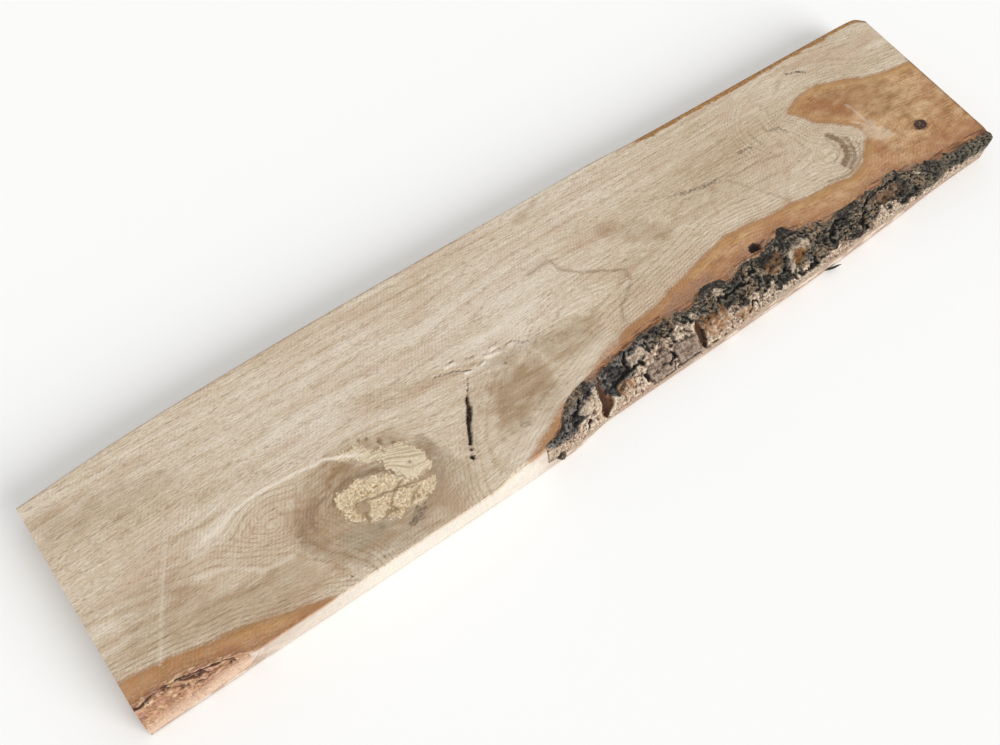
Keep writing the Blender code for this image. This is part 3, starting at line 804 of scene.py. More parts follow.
colour = layered(t, heart, [
    (sap, 1, (sap_edge, -1.2, 1.4)),
    ("#92623A", 0.5, (sap_edge, -2.2, 0.2), (sap_edge, 4.5, 0.6)),
    ("#84522F", 0.8, (f["near_mm"], 6.5, 0.5), (f["sap_mm"], 0, 3), (n["fuzz"], 0.35, 0.65, 0.15, 0.8)),
    ("#84684A", 0.5, (n["pore"], 0.56, 0.66), (spring, 0, 1)),
    ("#8F7354", 0.25, (n["ray"], 0.62, 0.72)),
    ("#8C683C", 0.85, (f["brown"], 0, 1), (n["mottle"], 0.3, 0.6, 0.5, 1)),
    ("#6A4722", 0.9, (f["umber"], 0, 1), (n["fuzz"], 0.3, 0.6, 0.55, 1)),
    ("#959078", 0.7, (f["grey"], 0, 1), (n["fuzz"], 0.3, 0.6, 0.6, 1)),
    ("#9C5F2A", 0.8, (f["rust"], 0, 1), (n["mottle"], 0.36, 0.6, 0.35, 1)),
    ("#9A745E", 0.9, (f["mauve"], 0, 1), (n["clump"], 0.4, 0.52, 0.3, 1)),
    ("#4C3226", 0.7, (f["mauve"], 0.1, 1), (n["fuzz"], 0.46, 0.38)),
])
knot_edge = summed(t, [(f["knot_mm"], -20, 20, -20, 20), (n["tuft"], 0.3, 0.7, -1, 1),
                       (n["clump"], 0.3, 0.7, -2, 2)])
torn_wood = layered(t, "#CCB48E", [
    ("#AE9069", 1, (n["clump"], 0.5, 0.38)), ("#E8D8BC", 1, (n["tuft"], 0.48, 0.64)),
    ("#8F6E48", 0.8, (n["tuft"], 0.4, 0.33)),
    ("#E2D2B6", 0.75, (f["lobe"], 0, 1)), ("#AB9672", 0.7, (f["lobe"], 0, 1), (n["streak"], 0.5, 0.6)),
    ("#73522F", 1, (f["seam"], 0, 0.8), (n["tuft"], 0.35, 0.55, 0.4, 1))])
colour = layered(t, colour, [
    (torn_wood, 1, (knot_edge, -0.3, 0.5)),
    (layered(t, "#B58648", [("#7C5028", 1, (n["fuzz"], 0.4, 0.6))]), 1, (f["bast"], 0, 1)),
    ("#EDE2D0", 1, (summed(t, [(f["pale"], 0, 1, 0, 1), (n["fuzz"], 0.3, 0.7, -0.25, 0.25)]), 0.05, 1)),
    # Pale sawn faces; the extra paleness on the near side is painted light
    ("#DED7CC", 0.78, (f["sawn_pale_and_lit"], 0, 1)),
    ("#A98F7A", 0.85, (f["foot"], 0, 1)), ("#8A6650", 0.8, (f["foot"], 0, 1), (n["fibre"], 0.48, 0.6)),
    ("#E0D0BE", 0.75, (f["foot"], 0, 1), (n["mottle"], 0.5, 0.6)),
    # Dark marks, with the painted shade of the crack and checks
    ("#2E1A11", 1, (summed(t, [(f["dark"], 0, 1, 0, 1), (n["fuzz"], 0.3, 0.7, -0.28, 0.28)]), 0.1, 0.85)),
])
t.links.new(colour, shader.inputs["Base Color"])
print("colours laid:", len(t.nodes), "nodes")

# %% [markdown]
# Bump is only for what is finer than the mesh: the saw's ridges, the fibres, the fuzz between them and the
# pores, all well under a millimetre deep. Its heights are in millimetres too.

# %% Sawn oak: its fine relief
relief_mm = summed(t, [(saw, -1, 1, -0.045, 0.045), (n["fibre"], 0, 1, 0, 0.22), (n["fuzz"], 0, 1, 0, 0.25),
                       (n["pore"], 0.56, 0.66, 0, -0.1), (n["tuft"], 0, 1, 0, 0.25)])
bump = add(t, "ShaderNodeBump", {"Height": relief_mm, "Strength": 0.9, "Distance": MM})["Normal"]
t.links.new(bump, shader.inputs["Normal"])
wood.data.materials.append(oak)
print("sawn oak:", len(t.nodes), "nodes")

# %% [markdown]
# The bark strip is a skin over the round of the log: thick dark cork broken into lumps by fissures, worn
# back towards its sawn foot. Sculpting it by hand or displacing it with a modifier would both work. Here
# its height is computed in rings that follow the CAD's, with many more points, so that it fits the wood.

# %% Places on the bark
# Each scoop: its station, half width and depth in mm, then as shares of the way down its place and half
# length, and its lean in mm
BARK_SCOOPS = [(-20.0, 5.0, 7.0, 0.62, 0.45, -5.0), (67.0, 4.5, 6.0, 0.70, 0.34, 3.0),
               (136.0, 4.5, 5.0, 0.10, 0.20, 0.0), (262.0, 9.0, 4.0, 0.45, 0.45, 0.0)]
# How far down the bark the dark cork reaches, as a share, by station
CORK_END = [(-80, 0.10), (-66, 0.42), (-54, 0.52), (-46, 0.50), (-36, 0.38), (-27, 0.30), (-17, 0.65),
            (-8, 0.65), (2, 0.55), (13, 0.42), (20, 0.36), (34, 0.40), (46, 0.33), (58, 0.24), (64, 0.28),
            (70, 0.48), (88, 0.60), (97, 0.66), (116, 0.72), (130, 0.80), (145, 0.86), (165, 0.95),
            (184, 0.92), (193, 0.78), (206, 0.82), (222, 0.92), (236, 0.92), (247, 0.66), (259, 0.60),
            (272, 0.82), (300, 0.76), (316, 0.62), (345, 0.60), (375, 0.70)]
# Each stroke: its field, strength, half width and soft edge in mm, and points of (station, mm down the bark)
STROKES = [
    ("cleft", 1.0, 1.0, 1.2, [(8, 0), (6, 3), (4, 7), (2, 10.5)]),
    ("cleft", 1.0, 1.1, 1.5, [(16, 12), (8, 10.5), (2, 10.5), (-2, 12.8), (-10, 13.5)]),
    ("cleft", 1.0, 2.0, 2.2, [(-10, 13.5), (-17, 14.3)]),
    ("cleft", 1.0, 1.0, 1.2, [(62, 2.3), (64, 6), (64, 8.2)]),
    ("cleft", 0.8, 1.0, 1.5, [(38, 3.8), (40, 9)]),
    ("cleft", 0.8, 1.2, 1.5, [(24, 5.3), (25, 10.5)]),
    ("cleft", 0.9, 0.8, 1.2, [(-41, 1.5), (-44, 6), (-48, 8.2)]),
    ("cleft", 0.7, 0.7, 1.0, [(-36, 0.8), (-29, 1.5)]),
    ("cleft", 0.9, 1.4, 1.0, [(-42, 24.5), (-38, 23)]),
    ("cleft", 1.0, 1.0, 1.0, [(16, 21), (16, 25.5)]),
    ("cleft", 1.0, 1.3, 1.2, [(40, 18.8), (40, 22.5), (36, 24)]),
    ("cleft", 1.0, 1.2, 1.2, [(38, 26.5), (38, 28.5)]),
    ("cleft", 0.7, 0.3, 0.9, [(20, 22.5), (30, 23.2), (37, 22.5)]),
    ("cleft", 0.5, 0.3, 0.9, [(16, 18.5), (26, 17.5), (38, 17.5)]),
    ("cleft", 0.7, 0.5, 1.4, [(30, 29.3), (46, 29.3), (78, 29.3)]),
    ("cleft", 1.0, 1.2, 1.6, [(94, 7.5), (106, 6.8), (114, 8.2), (120, 10.5)]),
    ("cleft", 0.8, 1.2, 1.5, [(121, 3), (118, 8.2)]),
    ("cleft", 1.0, 1.0, 1.2, [(133, 1.5), (130, 6), (126, 7.5)]),
    ("cleft", 0.9, 1.6, 2.0, [(152, 19.5), (158, 24.8)]),
    ("cleft", 0.9, 1.3, 1.5, [(163, 26.5), (172, 27.5), (182, 27.0)]),
    ("cleft", 1.0, 1.8, 1.5, [(181, 22.5), (180, 27.5)]),
    ("cleft", 0.9, 0.8, 1.2, [(118, 24), (112, 24.8), (109, 27.8)]),
    ("cleft", 1.0, 1.3, 1.6, [(199, 15.8), (205, 6.8), (212, 2.3), (217, 2.3)]),
    ("cleft", 0.9, 1.8, 2.0, [(234, 12), (230, 20), (231, 27)]),
    ("cleft", 0.9, 1.8, 2.0, [(241, 4.5), (248, 2.3), (254, 4.5)]),
    ("cleft", 0.9, 2.0, 2.5, [(276, 25), (286, 23), (295, 19)]),
    ("cleft", 0.7, 0.6, 1.0, [(260, 2.3), (272, 1.5), (284, 0.5), (294, 0.8)]),
    ("cleft", 1.0, 0.5, 1.2, [(70, 14), (70, 19), (70.5, 25)]),
    ("cleft", 1.0, 0.7, 1.2, [(-376, 1.5), (-366, 1.2), (-357, 1.0), (-345, 2.0), (-329, 2.6), (-313, 3.6)]),
    ("cleft", 0.9, 1.2, 1.8, [(-346, 3), (-338, 6.5), (-331, 5)]),
    ("cleft", 0.8, 0.8, 1.6, [(-331, 5), (-323, 8.5), (-314, 7)]),
    ("cleft", 0.7, 0.8, 1.5, [(-354, 3), (-349, 7.5), (-343, 9)]),
    ("cleft", 0.6, 0.7, 1.4, [(-340, 11), (-332, 12), (-326, 10.5)]),
    ("cream", 0.9, 1.8, 2.6, [(8, 6.8), (14, 7.5), (19, 6.8)]),
    ("cream", 1.0, 1.6, 1.2, [(65, 6), (67.5, 6)]),
    ("cream", 1.0, 2.2, 1.5, [(94.5, 3.0), (97, 4.5)]),
    ("cream", 0.9, 0.8, 2.2, [(158, 22), (162, 18.5), (166, 14.5)]),
    ("cream", 0.8, 1.8, 3.0, [(171, 13.5), (178, 11)]),
    ("cream", 0.8, 1.4, 1.4, [(103, 22.5), (109, 23.2)]),
    ("cream", 1.0, 2.3, 2.0, [(-41, 11.2), (-36, 11.2)]),
    ("cream", 1.0, 1.2, 1.0, [(297, 3), (299, 3)]),
    ("cream", 1.0, 1.1, 1.2, [(-27, 5), (-28, 13), (-29.5, 21), (-27, 27)]),
    ("tan", 1.0, 4.0, 4.5, [(73, 17), (80, 19), (88, 18)]),
    ("tan", 0.8, 2.5, 3.0, [(104, 25.5), (110, 25)]),
    ("tan", 0.9, 2.5, 2.5, [(-5, 19.5), (1, 19)]),
    ("tan", 0.5, 4.0, 5.0, [(258, 12), (272, 10)]),
    ("tan", 0.6, 3.0, 4.0, [(140, 12), (152, 9)]),
    ("rust", 0.9, 1.2, 3.0, [(166, 20), (169, 18), (172, 16)]),
    ("tan", 0.5, 2.0, 3.0, [(164, 20), (170, 17), (175, 15)]),
    ("cool", 1.0, 12.0, 10.0, [(-80, 8), (10, 8)]),
    ("plum", 1.0, 4.4, 1.4, [(21, 21.5), (33, 20.5)]),
    ("plum", 1.0, 2.6, 1.2, [(23, 27), (35, 26.5)]),
    ("plum", 1.0, 5.6, 1.6, [(48, 22), (60, 22.5)]),
    ("green", 0.8, 12.0, 12.0, [(318, 12), (375, 12)]),
]
# Each notch: its middle line, half widths along it, and its depth in mm
NOTCHES = [([(-20, 0), (-21.5, 7.5), (-21.5, 15), (-22.5, 24), (-24, 30)],
            [(0, 0.8), (0.25, 2.0), (0.5, 4.0), (0.72, 6.8), (0.86, 5.6), (1, 0.4)], 4.2),
           ([(68, 9), (67, 15.8), (68, 23.2), (67.5, 29.5)],
            [(0, 0.6), (0.3, 2.8), (0.8, 3.4), (1, 1.2)], 3.6)]
print(len(STROKES), "strokes and", len(NOTCHES), "notches on the bark")

# %% [markdown]
# Two heights make the cork. The coarse one, lumps of 11 mm with crumbs of 4.5 mm on them, is the CAD
# model's own. The fine one is new: plates some 4 by 3 mm that part along sharp fissures, like dried mud,
# with grit of about 1.5 mm on top. Cell noise (Voronoi) gives the plates, and plain noise the rest.

# %% Cork heights
LUMP_SIZE, LUMP_HEIGHT, BIAS = 11.0, 4.2, 0.35
CRUMB_SIZE, CRUMB_HEIGHT = 4.5, 1.8
RIDGE_START, RIDGE_PITCH, RIDGE_HEIGHT, RIDGE_LEAN = 315.0, 10.0, 1.0, 0.4
CALM = 0.65


def relief(x, t):
    """Height of the cork above or below its mean surface, in mm, as in the CAD model."""
    down = t * BARK_WIDTH
    lump = noise.noise(Vector((x / LUMP_SIZE, down / LUMP_SIZE, 3.7)))
    crumb = noise.noise(Vector((x / CRUMB_SIZE, down / CRUMB_SIZE, 9.1)))
    height = LUMP_HEIGHT * (lump - BIAS) + CRUMB_HEIGHT * crumb
    ridge = RIDGE_HEIGHT * math.sin(2.0 * math.pi * (x + RIDGE_LEAN * down) / RIDGE_PITCH)
    calm = ramp(x, RIDGE_START, RIDGE_START + FADE_IN)
    height = height * (1.0 - CALM * calm) + ridge * calm
    for station, half_width, depth, place, half_length, lean in BARK_SCOOPS:
        middle = station + lean * (t - place)
        away = ((x - middle) / half_width) ** 2 + ((t - place) / half_length) ** 2
        height -= depth * math.exp(-away ** 2)
    return height


def cork_detail(x, down):
    """Height in mm of small plates parted by fissures, with sharp crests and grit on them."""
    warp = noise.noise(Vector((x / 6.0, down / 6.0, 2.0)))
    gaps, spots = noise.voronoi(Vector(((x + 2.4 * warp) / 4.2, (down + 2.0 * warp) / 3.0, 0.0)))
    fissure = min(1.0, (gaps[1] - gaps[0]) / 0.35)
    plate = noise.noise(spots[0] * 2.7 + Vector((0.0, 0.0, 7.0)))
    crest = 0.5 - abs(noise.noise(Vector((x / 5.0, down / 4.0, 11.0)))) * 2.0
    grit = noise.noise(Vector((x / 1.7, down / 1.4, 5.0)))
    return 1.2 * plate + 0.8 * (fissure - 0.75) + 0.9 * crest + 1.1 * grit


def wane_normal(x, t):
    """The outward (y, z) normal of the log's round at a station."""
    y0, z0 = wane_point(x, max(t - STEP_T, 0.0))
    y1, z1 = wane_point(x, min(t + STEP_T, 1.0))
    length = math.hypot(y1 - y0, z1 - z0)
    return (z1 - z0) / length, -(y1 - y0) / length


def bark_face(x, t, change):
    """(y, z) on the outside of the bark, from the top plane (t = 0) to its foot (t = 1), and its height."""
    share = bark_share(x)
    y, z = wane_point(x, t)
    out_y, out_z = wane_normal(x, t)
    step_y = -share * (BARK_LIP * (1.0 - t) + BARK_LEDGE * t * t)
    step_z = share * BARK_FOOT * t
    window = math.sin(math.pi * t)
    fall = THICKNESS - along(SAWN_HEIGHT, x)
    skin = window * share * (BARK_BELLY * fall / THICKNESS + relief(x, t))
    skin += change * min(1.0, 4.0 * window + 0.3) * min(1.0, share * 2.0)
    skin += max(0.0, THIN_BARK * window - (step_y * out_y + step_z * out_z + skin))
    y, z = y + step_y + out_y * skin, z + step_z + out_z * skin
    return max(along(NEAR_SAW, x), y), min(THICKNESS, z), skin


print("relief at station 100, half way down:", round(relief(100.0, 0.5), 2), "mm")

# %% [markdown]
# Every stroke and notch becomes a field over a flat grid of the bark, station by millimetres down. The same
# masks then carve the height and choose the colour, so a cleft is a real groove, painted near black as shade.

# %% Fields over the bark
BARK_MARKS = ("cleft", "cream", "tan", "rust", "cool", "plum", "green", "notch", "wall", "groove")


def bark_fields(grid):
    """Masks from 0 to 1 over the points of a grid of the bark."""
    shaken = grid + np.stack([lumps(grid, 3.5, 31), lumps(grid, 3.5, 32), 0 * grid[:, 0]], axis=1) * 1.5
    shaken[:, :2] += 0.7 * np.stack([lumps(grid, 1.5, 40), lumps(grid, 1.5, 41)], axis=1)
    masks = {label: np.zeros(len(grid)) for label in BARK_MARKS}
    patchy = 0.75 + 0.35 * lumps(grid, 4.5, 42)
    for label, strength, half_width, soft, line in STROKES:
        width = (half_width + soft) * (1.0 if label != "cleft" else patchy)
        wander = 0.4 if label == "plum" else 1.0
        mask = ramp(width - line_distance(grid + wander * (shaken - grid), line)[0], 0.0, soft)
        masks[label] = np.maximum(masks[label], strength * mask)
    for line, halves, depth in NOTCHES:
        middle, downs = zip(*line)
        at = (grid[:, 1] - downs[0]) / (downs[-1] - downs[0])
        half = np.interp(at, *zip(*halves), left=0.0, right=0.0)
        beside = grid[:, 0] + 0.25 * (shaken - grid)[:, 0] - np.interp(grid[:, 1], downs, middle)
        across = beside / np.maximum(half, 0.4)
        inside = ramp(1.1 - np.abs(across), 0.0, 0.3) * ramp(half, 0.0, 0.5)
        hollow = ramp(1.1 - np.abs(across), 0.0, 0.9) * ramp(half, 0.0, 2.0)
        masks["groove"] = np.maximum(masks["groove"], depth * hollow)
        masks["notch"] = np.maximum(masks["notch"], inside)
        masks["wall"] = np.where(inside > 0.0, np.clip(0.5 + 0.5 * across, 0.0, 1.0), masks["wall"])
    reach = np.interp(grid[:, 0], *zip(*CORK_END)) * BARK_WIDTH
    reach = reach + 5.0 * lumps(grid, 9.0, 33) + 3.0 * lumps(grid, (3.5, 3.0, 9.0), 34) - grid[:, 1]
    masks["cork"] = ramp(reach, -1.2, 1.2)
    return masks


def blurred(heights, reach):
    """Each height replaced by the mean of a square of its neighbours."""
    padded = np.pad(heights, reach, mode="edge")
    total = np.cumsum(np.cumsum(np.pad(padded, ((1, 0), (1, 0))), axis=0), axis=1)
    size = 2 * reach + 1
    square = total[size:, size:] - total[:-size, size:] - total[size:, :-size] + total[:-size, :-size]
    return square / size ** 2


print("masks:", ", ".join(bark_fields(np.zeros((1, 3)))))

# %% [markdown]
# Where the saw cut through the bark there is a flat band of inner bark on the top, next to the sapwood.
# Below it comes the cork. Each piece is one closed skin with its own fields. Two of them compare each
# height with the mean round it, at two scales, for painted highlights on crests and painted shade in hollows.

# %% Bark pieces
BARK_STEP_X, BARK_ROWS, BACK_ROWS, BAND_ROWS = 0.65, 50, 6, 6
# The stations over which the cork stops creeping over the top, towards the right end
CREEP_STOPS = (312.0, 336.0)
# Cork edges sharper than this angle, in degrees, are not smoothed
CORK_SHARP = 75.0


def bark_piece(name, start, end, strength, overhang):
    """A closed skin of bark between two stations. The cork creeps over the top by a share, the overhang."""
    count = round((end - start) / BARK_STEP_X)
    xs = np.linspace(start, end, count + 1)
    downs = np.arange(BARK_ROWS) / BARK_ROWS * BARK_WIDTH
    all_xs = np.repeat(xs, BARK_ROWS)
    grid = np.stack([all_xs, np.tile(downs, count + 1), np.zeros(len(all_xs))], axis=1)
    masks = bark_fields(grid)
    calm = np.clip(0.9 * masks["plum"] + 0.95 * masks["notch"] + 0.5 * (1 - masks["cork"]), 0.0, 0.95)
    rough = np.array([cork_detail(x, down) for x, down, _ in grid]) * (1 - calm) + 0.4 * lumps(grid, 1.3, 35)
    scaly = masks["plum"] * (1.4 + 0.4 * lumps(grid, (9.0, 1.4, 9.0), 44))
    upright = masks["green"] * 1.5 * lumps(grid, (2.4, 16.0, 9.0), 45)
    change = strength * (rough + scaly + upright - 2.6 * masks["cleft"]) - masks.pop("groove")
    faces_yz = np.array([bark_face(x, down / BARK_WIDTH, c) for (x, down, _), c in zip(grid, change)])
    skin = faces_yz[:, 2].reshape(count + 1, BARK_ROWS)
    # Height over the mean round it, at two scales: the colours paint highlights where it is high and shade
    # where it is low
    masks["crest"] = (skin - blurred(skin, 3)).ravel()
    masks["hollow"] = (blurred(skin, 2) - blurred(skin, 9)).ravel()
    masks["down"] = grid[:, 1] / BARK_WIDTH + 0.5 * ramp(-np.abs(grid[:, 0] - CORNER_END), -30.0, 0.0)

    edge = np.stack([xs, 0 * xs, 0 * xs], axis=1)
    bite = 1.3 * lumps(edge, 6.0, 36) + 0.8 * lumps(edge, 2.2, 37)
    creep = overhang * (0.5 + 0.9 * lumps(edge, 10.0, 38) + 0.4 * lumps(edge, 3.0, 39))
    creep = creep - ramp(xs, *CREEP_STOPS)
    back_rows = 2 + BACK_ROWS
    size = BARK_ROWS + back_rows + BAND_ROWS
    rings = np.zeros((count + 1, size, 3))
    fields = {label: np.zeros((count + 1, size)) for label in (*masks, "band")}
    for label, mask in masks.items():
        fields[label][:, :BARK_ROWS] = mask.reshape(count + 1, BARK_ROWS)
    fields["down"][:, BARK_ROWS:BARK_ROWS + back_rows] = 1.0
    for k, x in enumerate(xs):
        saw, tall, share = along(NEAR_SAW, x), along(SAWN_HEIGHT, x), bark_share(x)
        face = faces_yz[k * BARK_ROWS:(k + 1) * BARK_ROWS, :2].copy()
        face[:, 0] += np.minimum(0.0, bite[k]) * share * np.maximum(0.0, 1.0 - downs / 5.0)
        face[:, 0] = np.maximum(saw, face[:, 0])
        heel_y, heel_z = wane_point(x, 1.0, FIT_GAP)
        back = [(saw, tall + BARK_FOOT * share), (saw, tall - ARRIS + FIT_GAP), (heel_y, heel_z + FIT_GAP)]
        back += [wane_point(x, r / BACK_ROWS, FIT_GAP) for r in range(BACK_ROWS - 1, 0, -1)]
        inner = along(TOP_EDGE, x) + BARK_LIP * share + FIT_GAP / wane_normal(x, 0.0)[0]
        s = np.arange(BAND_ROWS) / BAND_ROWS
        y = inner + (face[0, 0] - inner) * s
        cork = ramp(s - 1 + creep[k], -0.1, 0.1)
        dip = -0.9 * share * strength * np.sin(math.pi * s) * (1 - cork)
        rings[k, :, 0] = x
        rings[k, :, 1:] = np.concatenate([face, back, np.stack([y, THICKNESS + dip], axis=1)])
        fields["band"][k, -BAND_ROWS:] = 1.0 - cork
        fields["cork"][k, -BAND_ROWS:] = cork
        fields["crest"][k, -BAND_ROWS:] = rough[k * BARK_ROWS] * 0.4 * cork
    rings = rings.reshape(-1, 3)
    faces = ring_quads(count + 1, size)
    faces += [tuple(range(size)), tuple(range(len(rings) - size, len(rings)))[::-1]]
    flat_fields = {label: values.ravel() for label, values in fields.items()}
    return make_piece(name, rings, faces, flat_fields, CORK_SHARP)


strip = bark_piece("bark_strip_cork", STRIP_START, STRIP_END, 1.0, 1.0)
corner = bark_piece("bark_corner_bast", CORNER_START, CORNER_END, 0.5, 0.0)

# %% [markdown]
# Two crumbs of bark still hang on: a nub where the strip begins, and a thin sliver torn from the lower
# arris. Each is a spine with uneven rings of points round it, closed at both ends.

# %% Loose crumbs of bark
CRUMB_SIDES = 9
CRUMBS = [("bark_nub", [(-73.5, -86.0, 12.0), (-71.5, -87.3, 12.6), (-69.5, -87.9, 13.2),
                        (-67.5, -87.4, 13.4), (-66.0, -86.2, 13.0)], [0.6, 2.0, 2.4, 1.8, 0.5]),
          ("bark_sliver", [(190.0, -77.2, 2.2), (193.0, -78.6, 2.6), (196.0, -79.4, 2.7), (199.0, -80.0, 2.6),
                           (202.0, -80.6, 2.9), (204.5, -81.4, 3.4)], [0.7, 1.1, 0.9, 1.0, 0.6, 0.15])]

crumbs = []
for seed, (name, spine, radii) in enumerate(CRUMBS):
    uneven = np.random.default_rng(seed).uniform(0.75, 1.25, (len(spine), CRUMB_SIDES))
    angles = np.arange(CRUMB_SIDES) * 2 * math.pi / CRUMB_SIDES
    rings = [(x, y + r * u * math.cos(a), z + r * u * math.sin(a))
             for (x, y, z), r, row in zip(spine, radii, uneven) for a, u in zip(angles, row)]
    faces = ring_quads(len(spine), CRUMB_SIDES)
    faces += [tuple(range(CRUMB_SIDES)), tuple(range(len(rings) - CRUMB_SIDES, len(rings)))[::-1]]
    crumbs.append(make_piece(name, np.array(rings), faces, {"cork": np.ones(len(rings))}, CORK_SHARP))

# %% [markdown]
# The finish is old oak cork, weathered outdoors: tan or pinkish cream where it broke or was sawn, with
# painted shade near black in its fissures and painted highlights slate grey on its crests. Cork is full
# of air, so it is dull and a little dusty: its roughness is near 0.9, at the usual IOR of 1.5. Grit of 1.3
# mm breaks up every edge between colours, chips are 4 mm, and the layers of the inner bark run along the
# log, some 14 mm long and 2 mm thick.

# %% Oak bark: its patterns
bark, t, shader = new_finish("oak_bark", 0.9)
place = add(t, "ShaderNodeTexCoord")["Object"]
f = {label: add(t, "ShaderNodeAttribute", attribute_name=label)["Fac"]
     for label in ("crest", "hollow", "cork", "band", "notch", "wall", "cleft", "cream", "tan", "rust",
                   "cool", "plum", "green")}
n = patterned(t, place, MM, [("grit", (1.3, 1.3, 1.3), 3.0), ("chip", (4.0, 3.0, 3.0), 3.0),
                             ("layer", (14.0, 2.0, 2.0), 3.0), ("spread", (16.0, 12.0, 12.0), 2.0)])
print("patterns:", ", ".join(n))

# %% [markdown]
# The cork and the broken inner bark are two layered colours, and a noisy border parts them. Painted
# highlights on crests and painted shade in hollows come from the mesh's own heights, so they sit where the
# shape puts them.

# %% Oak bark: its colours
# Where crest is high the colours below add painted highlights, and where it or hollow is low, painted shade
crest = summed(t, [(f["crest"], -3, 3, -3, 3), (n["grit"], 0.3, 0.7, -0.45, 0.45)])
dark_cork = layered(t, "#342C24", [
    ("#5E5446", 1, (n["chip"], 0.4, 0.6)),
    ("#8A6C4C", 0.85, (n["spread"], 0.5, 0.6), (n["chip"], 0.44, 0.56)),
    ("#6F6F74", 0.7, (f["cool"], 0, 1), (n["chip"], 0.42, 0.58)),
    # Painted highlights: grey on crests, lighter on domes, and pale specks on crests
    ("#8F8878", 0.85, (crest, 0.15, 0.9), (n["grit"], 0.35, 0.6, 0.3, 1)),
    ("#877D69", 0.5, (f["hollow"], 0.4, 1.6), (n["chip"], 0.4, 0.6)),
    ("#B5A78F", 0.8, (n["grit"], 0.59, 0.68), (crest, -0.3, 0.4)),
    ("#120E0B", 0.75, (n["spread"], 0.52, 0.4)),
    ("#5E5A4A", 0.7, (f["green"], 0, 1), (n["chip"], 0.4, 0.6, 0.5, 1)),
    # Painted shade, near black, in dips and hollows
    ("#0C0A09", 1, (crest, -0.05, -0.6)),
    ("#0C0A09", 0.85, (f["hollow"], -0.5, -1.8))])
# Cream and plum bark also take painted highlights on crests and painted shade in dips
cream = layered(t, "#B2A08A", [
    ("#967B68", 0.8, (n["layer"], 0.44, 0.6)), ("#AC8C78", 0.6, (n["spread"], 0.45, 0.6)),
    ("#E0D1BA", 0.9, (crest, 0.1, 0.6)), ("#453225", 0.9, (crest, -0.1, -0.5)),
    ("#3A302A", 0.8, (n["chip"], 0.44, 0.38), (n["grit"], 0.52, 0.44))])
plum = layered(t, "#86705F", [("#57443A", 0.7, (n["layer"], 0.44, 0.6)), ("#A79484", 0.7, (crest, 0.05, 0.4)),
                              ("#241812", 0.8, (crest, -0.35, -0.9))])
# The notch is painted light and shade: its left wall pale as if lit, its core dark as shade, its right wall
# mid brown
notch_lit_and_shaded = layered(t, "#44250F", [
    ("#BE9068", 1, (f["wall"], 0.26, 0.04)), ("#84583C", 0.9, (f["wall"], 0.74, 0.97)),
    ("#2B170B", 0.6, (n["chip"], 0.45, 0.6))])
share = summed(t, [(f["cork"], 0, 1, 0, 1), (n["grit"], 0.3, 0.7, -0.35, 0.35),
                   (n["chip"], 0.3, 0.7, -0.4, 0.4)])
inner_bark = layered(t, "#AA7A52", [
    ("#6E4832", 1, (n["layer"], 0.4, 0.58)), ("#967864", 0.8, (n["spread"], 0.5, 0.62)),
    ("#453024", 0.8, (n["grit"], 0.42, 0.34))])
colour = layered(t, cream, [
    (dark_cork, 1, (share, 0.38, 0.62)),
    ("#C6B39C", 0.95, (f["cream"], 0.2, 0.8), (n["grit"], 0.36, 0.54, 0.35, 1)),
    ("#94683F", 0.85, (f["tan"], 0.1, 0.9), (n["chip"], 0.36, 0.56)),
    (plum, 1, (f["plum"], 0.3, 0.7)), ("#241812", 0.85, (f["plum"], 0.06, 0.28), (f["plum"], 0.7, 0.4)),
    ("#8A5A2B", 1, (f["rust"], 0.1, 0.9), (n["chip"], 0.36, 0.52, 0.3, 1)),
    (notch_lit_and_shaded, 1, (f["notch"], 0.1, 0.6)),
    (inner_bark, 1, (summed(t, [(f["band"], 0, 1, 0, 1), (n["grit"], 0.3, 0.7, -0.3, 0.3)]), 0.35, 0.6)),
    # Clefts are painted near black: painted shade in the carved grooves
    ("#0D0806", 1, (summed(t, [(f["cleft"], 0, 1, 0, 1), (n["grit"], 0.3, 0.7, -0.35, 0.35)]), 0.25, 0.95)),
])
t.links.new(colour, shader.inputs["Base Color"])
relief_mm = summed(t, [(n["grit"], 0, 1, 0, 0.9), (n["chip"], 0, 1, 0, 0.8)])
bump = add(t, "ShaderNodeBump", {"Height": relief_mm, "Strength": 0.9, "Distance": MM})["Normal"]
t.links.new(bump, shader.inputs["Normal"])
for piece in (strip, *crumbs):
    piece.data.materials.append(bark)
print("oak bark:", len(t.nodes), "nodes")
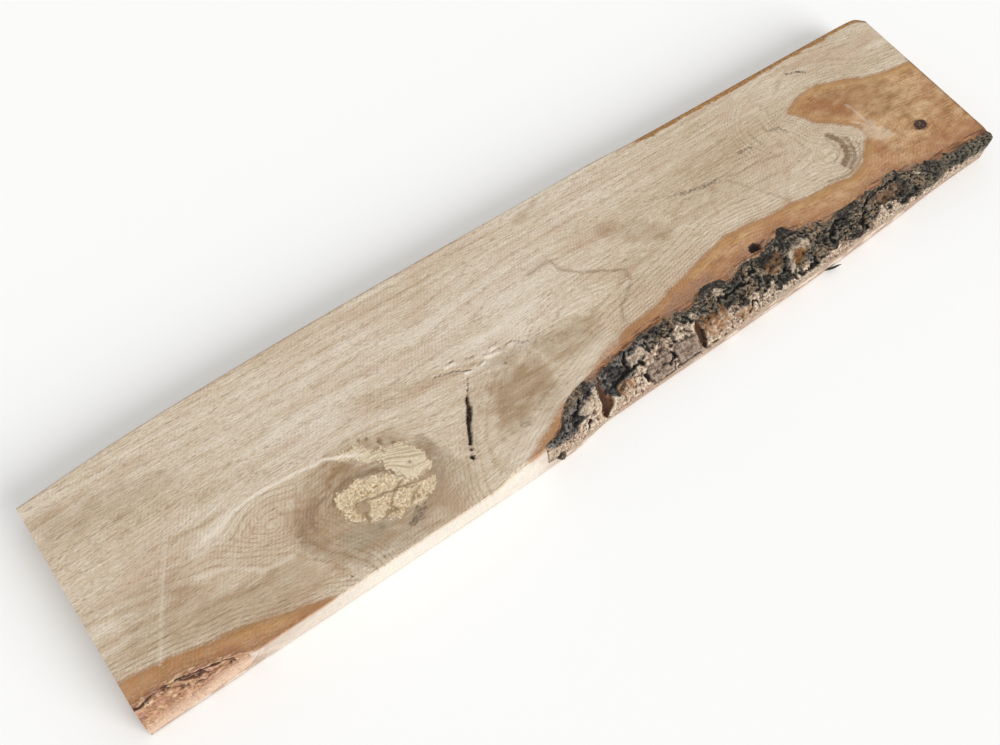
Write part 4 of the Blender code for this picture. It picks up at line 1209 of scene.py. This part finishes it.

# %% [markdown]
# At the left corner only the inner bark is left, a thin torn layer of bast: brown fibres that lie along
# the board, 12 mm long and 1.2 mm wide, pinkish where they broke and paler towards the foot. One long split
# runs under the top, painted dark as shade. It is as dull as the wood, and darker where dirt of 1.4 mm grain
# has caught in it. Its crests take painted highlights and its dips painted shade.

# %% Oak bast
bast_finish, t, shader = new_finish("oak_bast", 0.85)
place = add(t, "ShaderNodeTexCoord")["Object"]
f = {label: add(t, "ShaderNodeAttribute", attribute_name=label)["Fac"]
     for label in ("down", "crest", "cleft")}
n = patterned(t, place, MM, [("fibre", (12.0, 1.2, 1.2), 4.0), ("grit", (1.4, 1.4, 1.4), 3.0),
                             ("patch", (7.0, 3.0, 3.0), 3.0)])
colour = layered(t, "#B38763", [
    ("#87593C", 0.9, (n["fibre"], 0.4, 0.62)), ("#B58876", 0.6, (n["patch"], 0.46, 0.36)),
    # Crests get a painted highlight and dips painted shade
    ("#D6B795", 0.8, (n["patch"], 0.54, 0.66)), ("#D8BA9C", 0.6, (f["crest"], 0.1, 0.5)),
    ("#5A3B28", 0.8, (n["grit"], 0.40, 0.33)), ("#4E3222", 0.8, (f["crest"], -0.12, -0.5)),
    # Paler towards the foot
    ("#DDC2AA", 0.75, (f["down"], 0.5, 1.0), (n["grit"], 0.3, 0.5, 0.5, 1)),
    # The split is painted dark: painted shade
    ("#44291A", 1, (summed(t, [(f["cleft"], 0, 1, 0, 1), (n["grit"], 0.3, 0.7, -0.35, 0.35)]), 0.25, 0.9))])
t.links.new(colour, shader.inputs["Base Color"])
relief_mm = summed(t, [(n["fibre"], 0, 1, 0, 0.8), (n["grit"], 0, 1, 0, 0.5)])
bump = add(t, "ShaderNodeBump", {"Height": relief_mm, "Strength": 0.9, "Distance": MM})["Normal"]
t.links.new(bump, shader.inputs["Normal"])
corner.data.materials.append(bast_finish)
print("oak bast:", len(t.nodes), "nodes")

# %% [markdown]
# Last, every piece is tied to the CAD model: it rides on the board's one body. The CAD solids that the
# wood, the strip and the corner replace are hidden.

# %% Onto the frame
for piece, node, slot in ((wood, "oak_board", "sawn_oak"), (strip, "bark_strip", "oak_bark"),
                          (corner, "bark_corner", "oak_bast")):
    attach(piece, "root")
    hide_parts(node)
for piece in crumbs:
    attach(piece, "root")
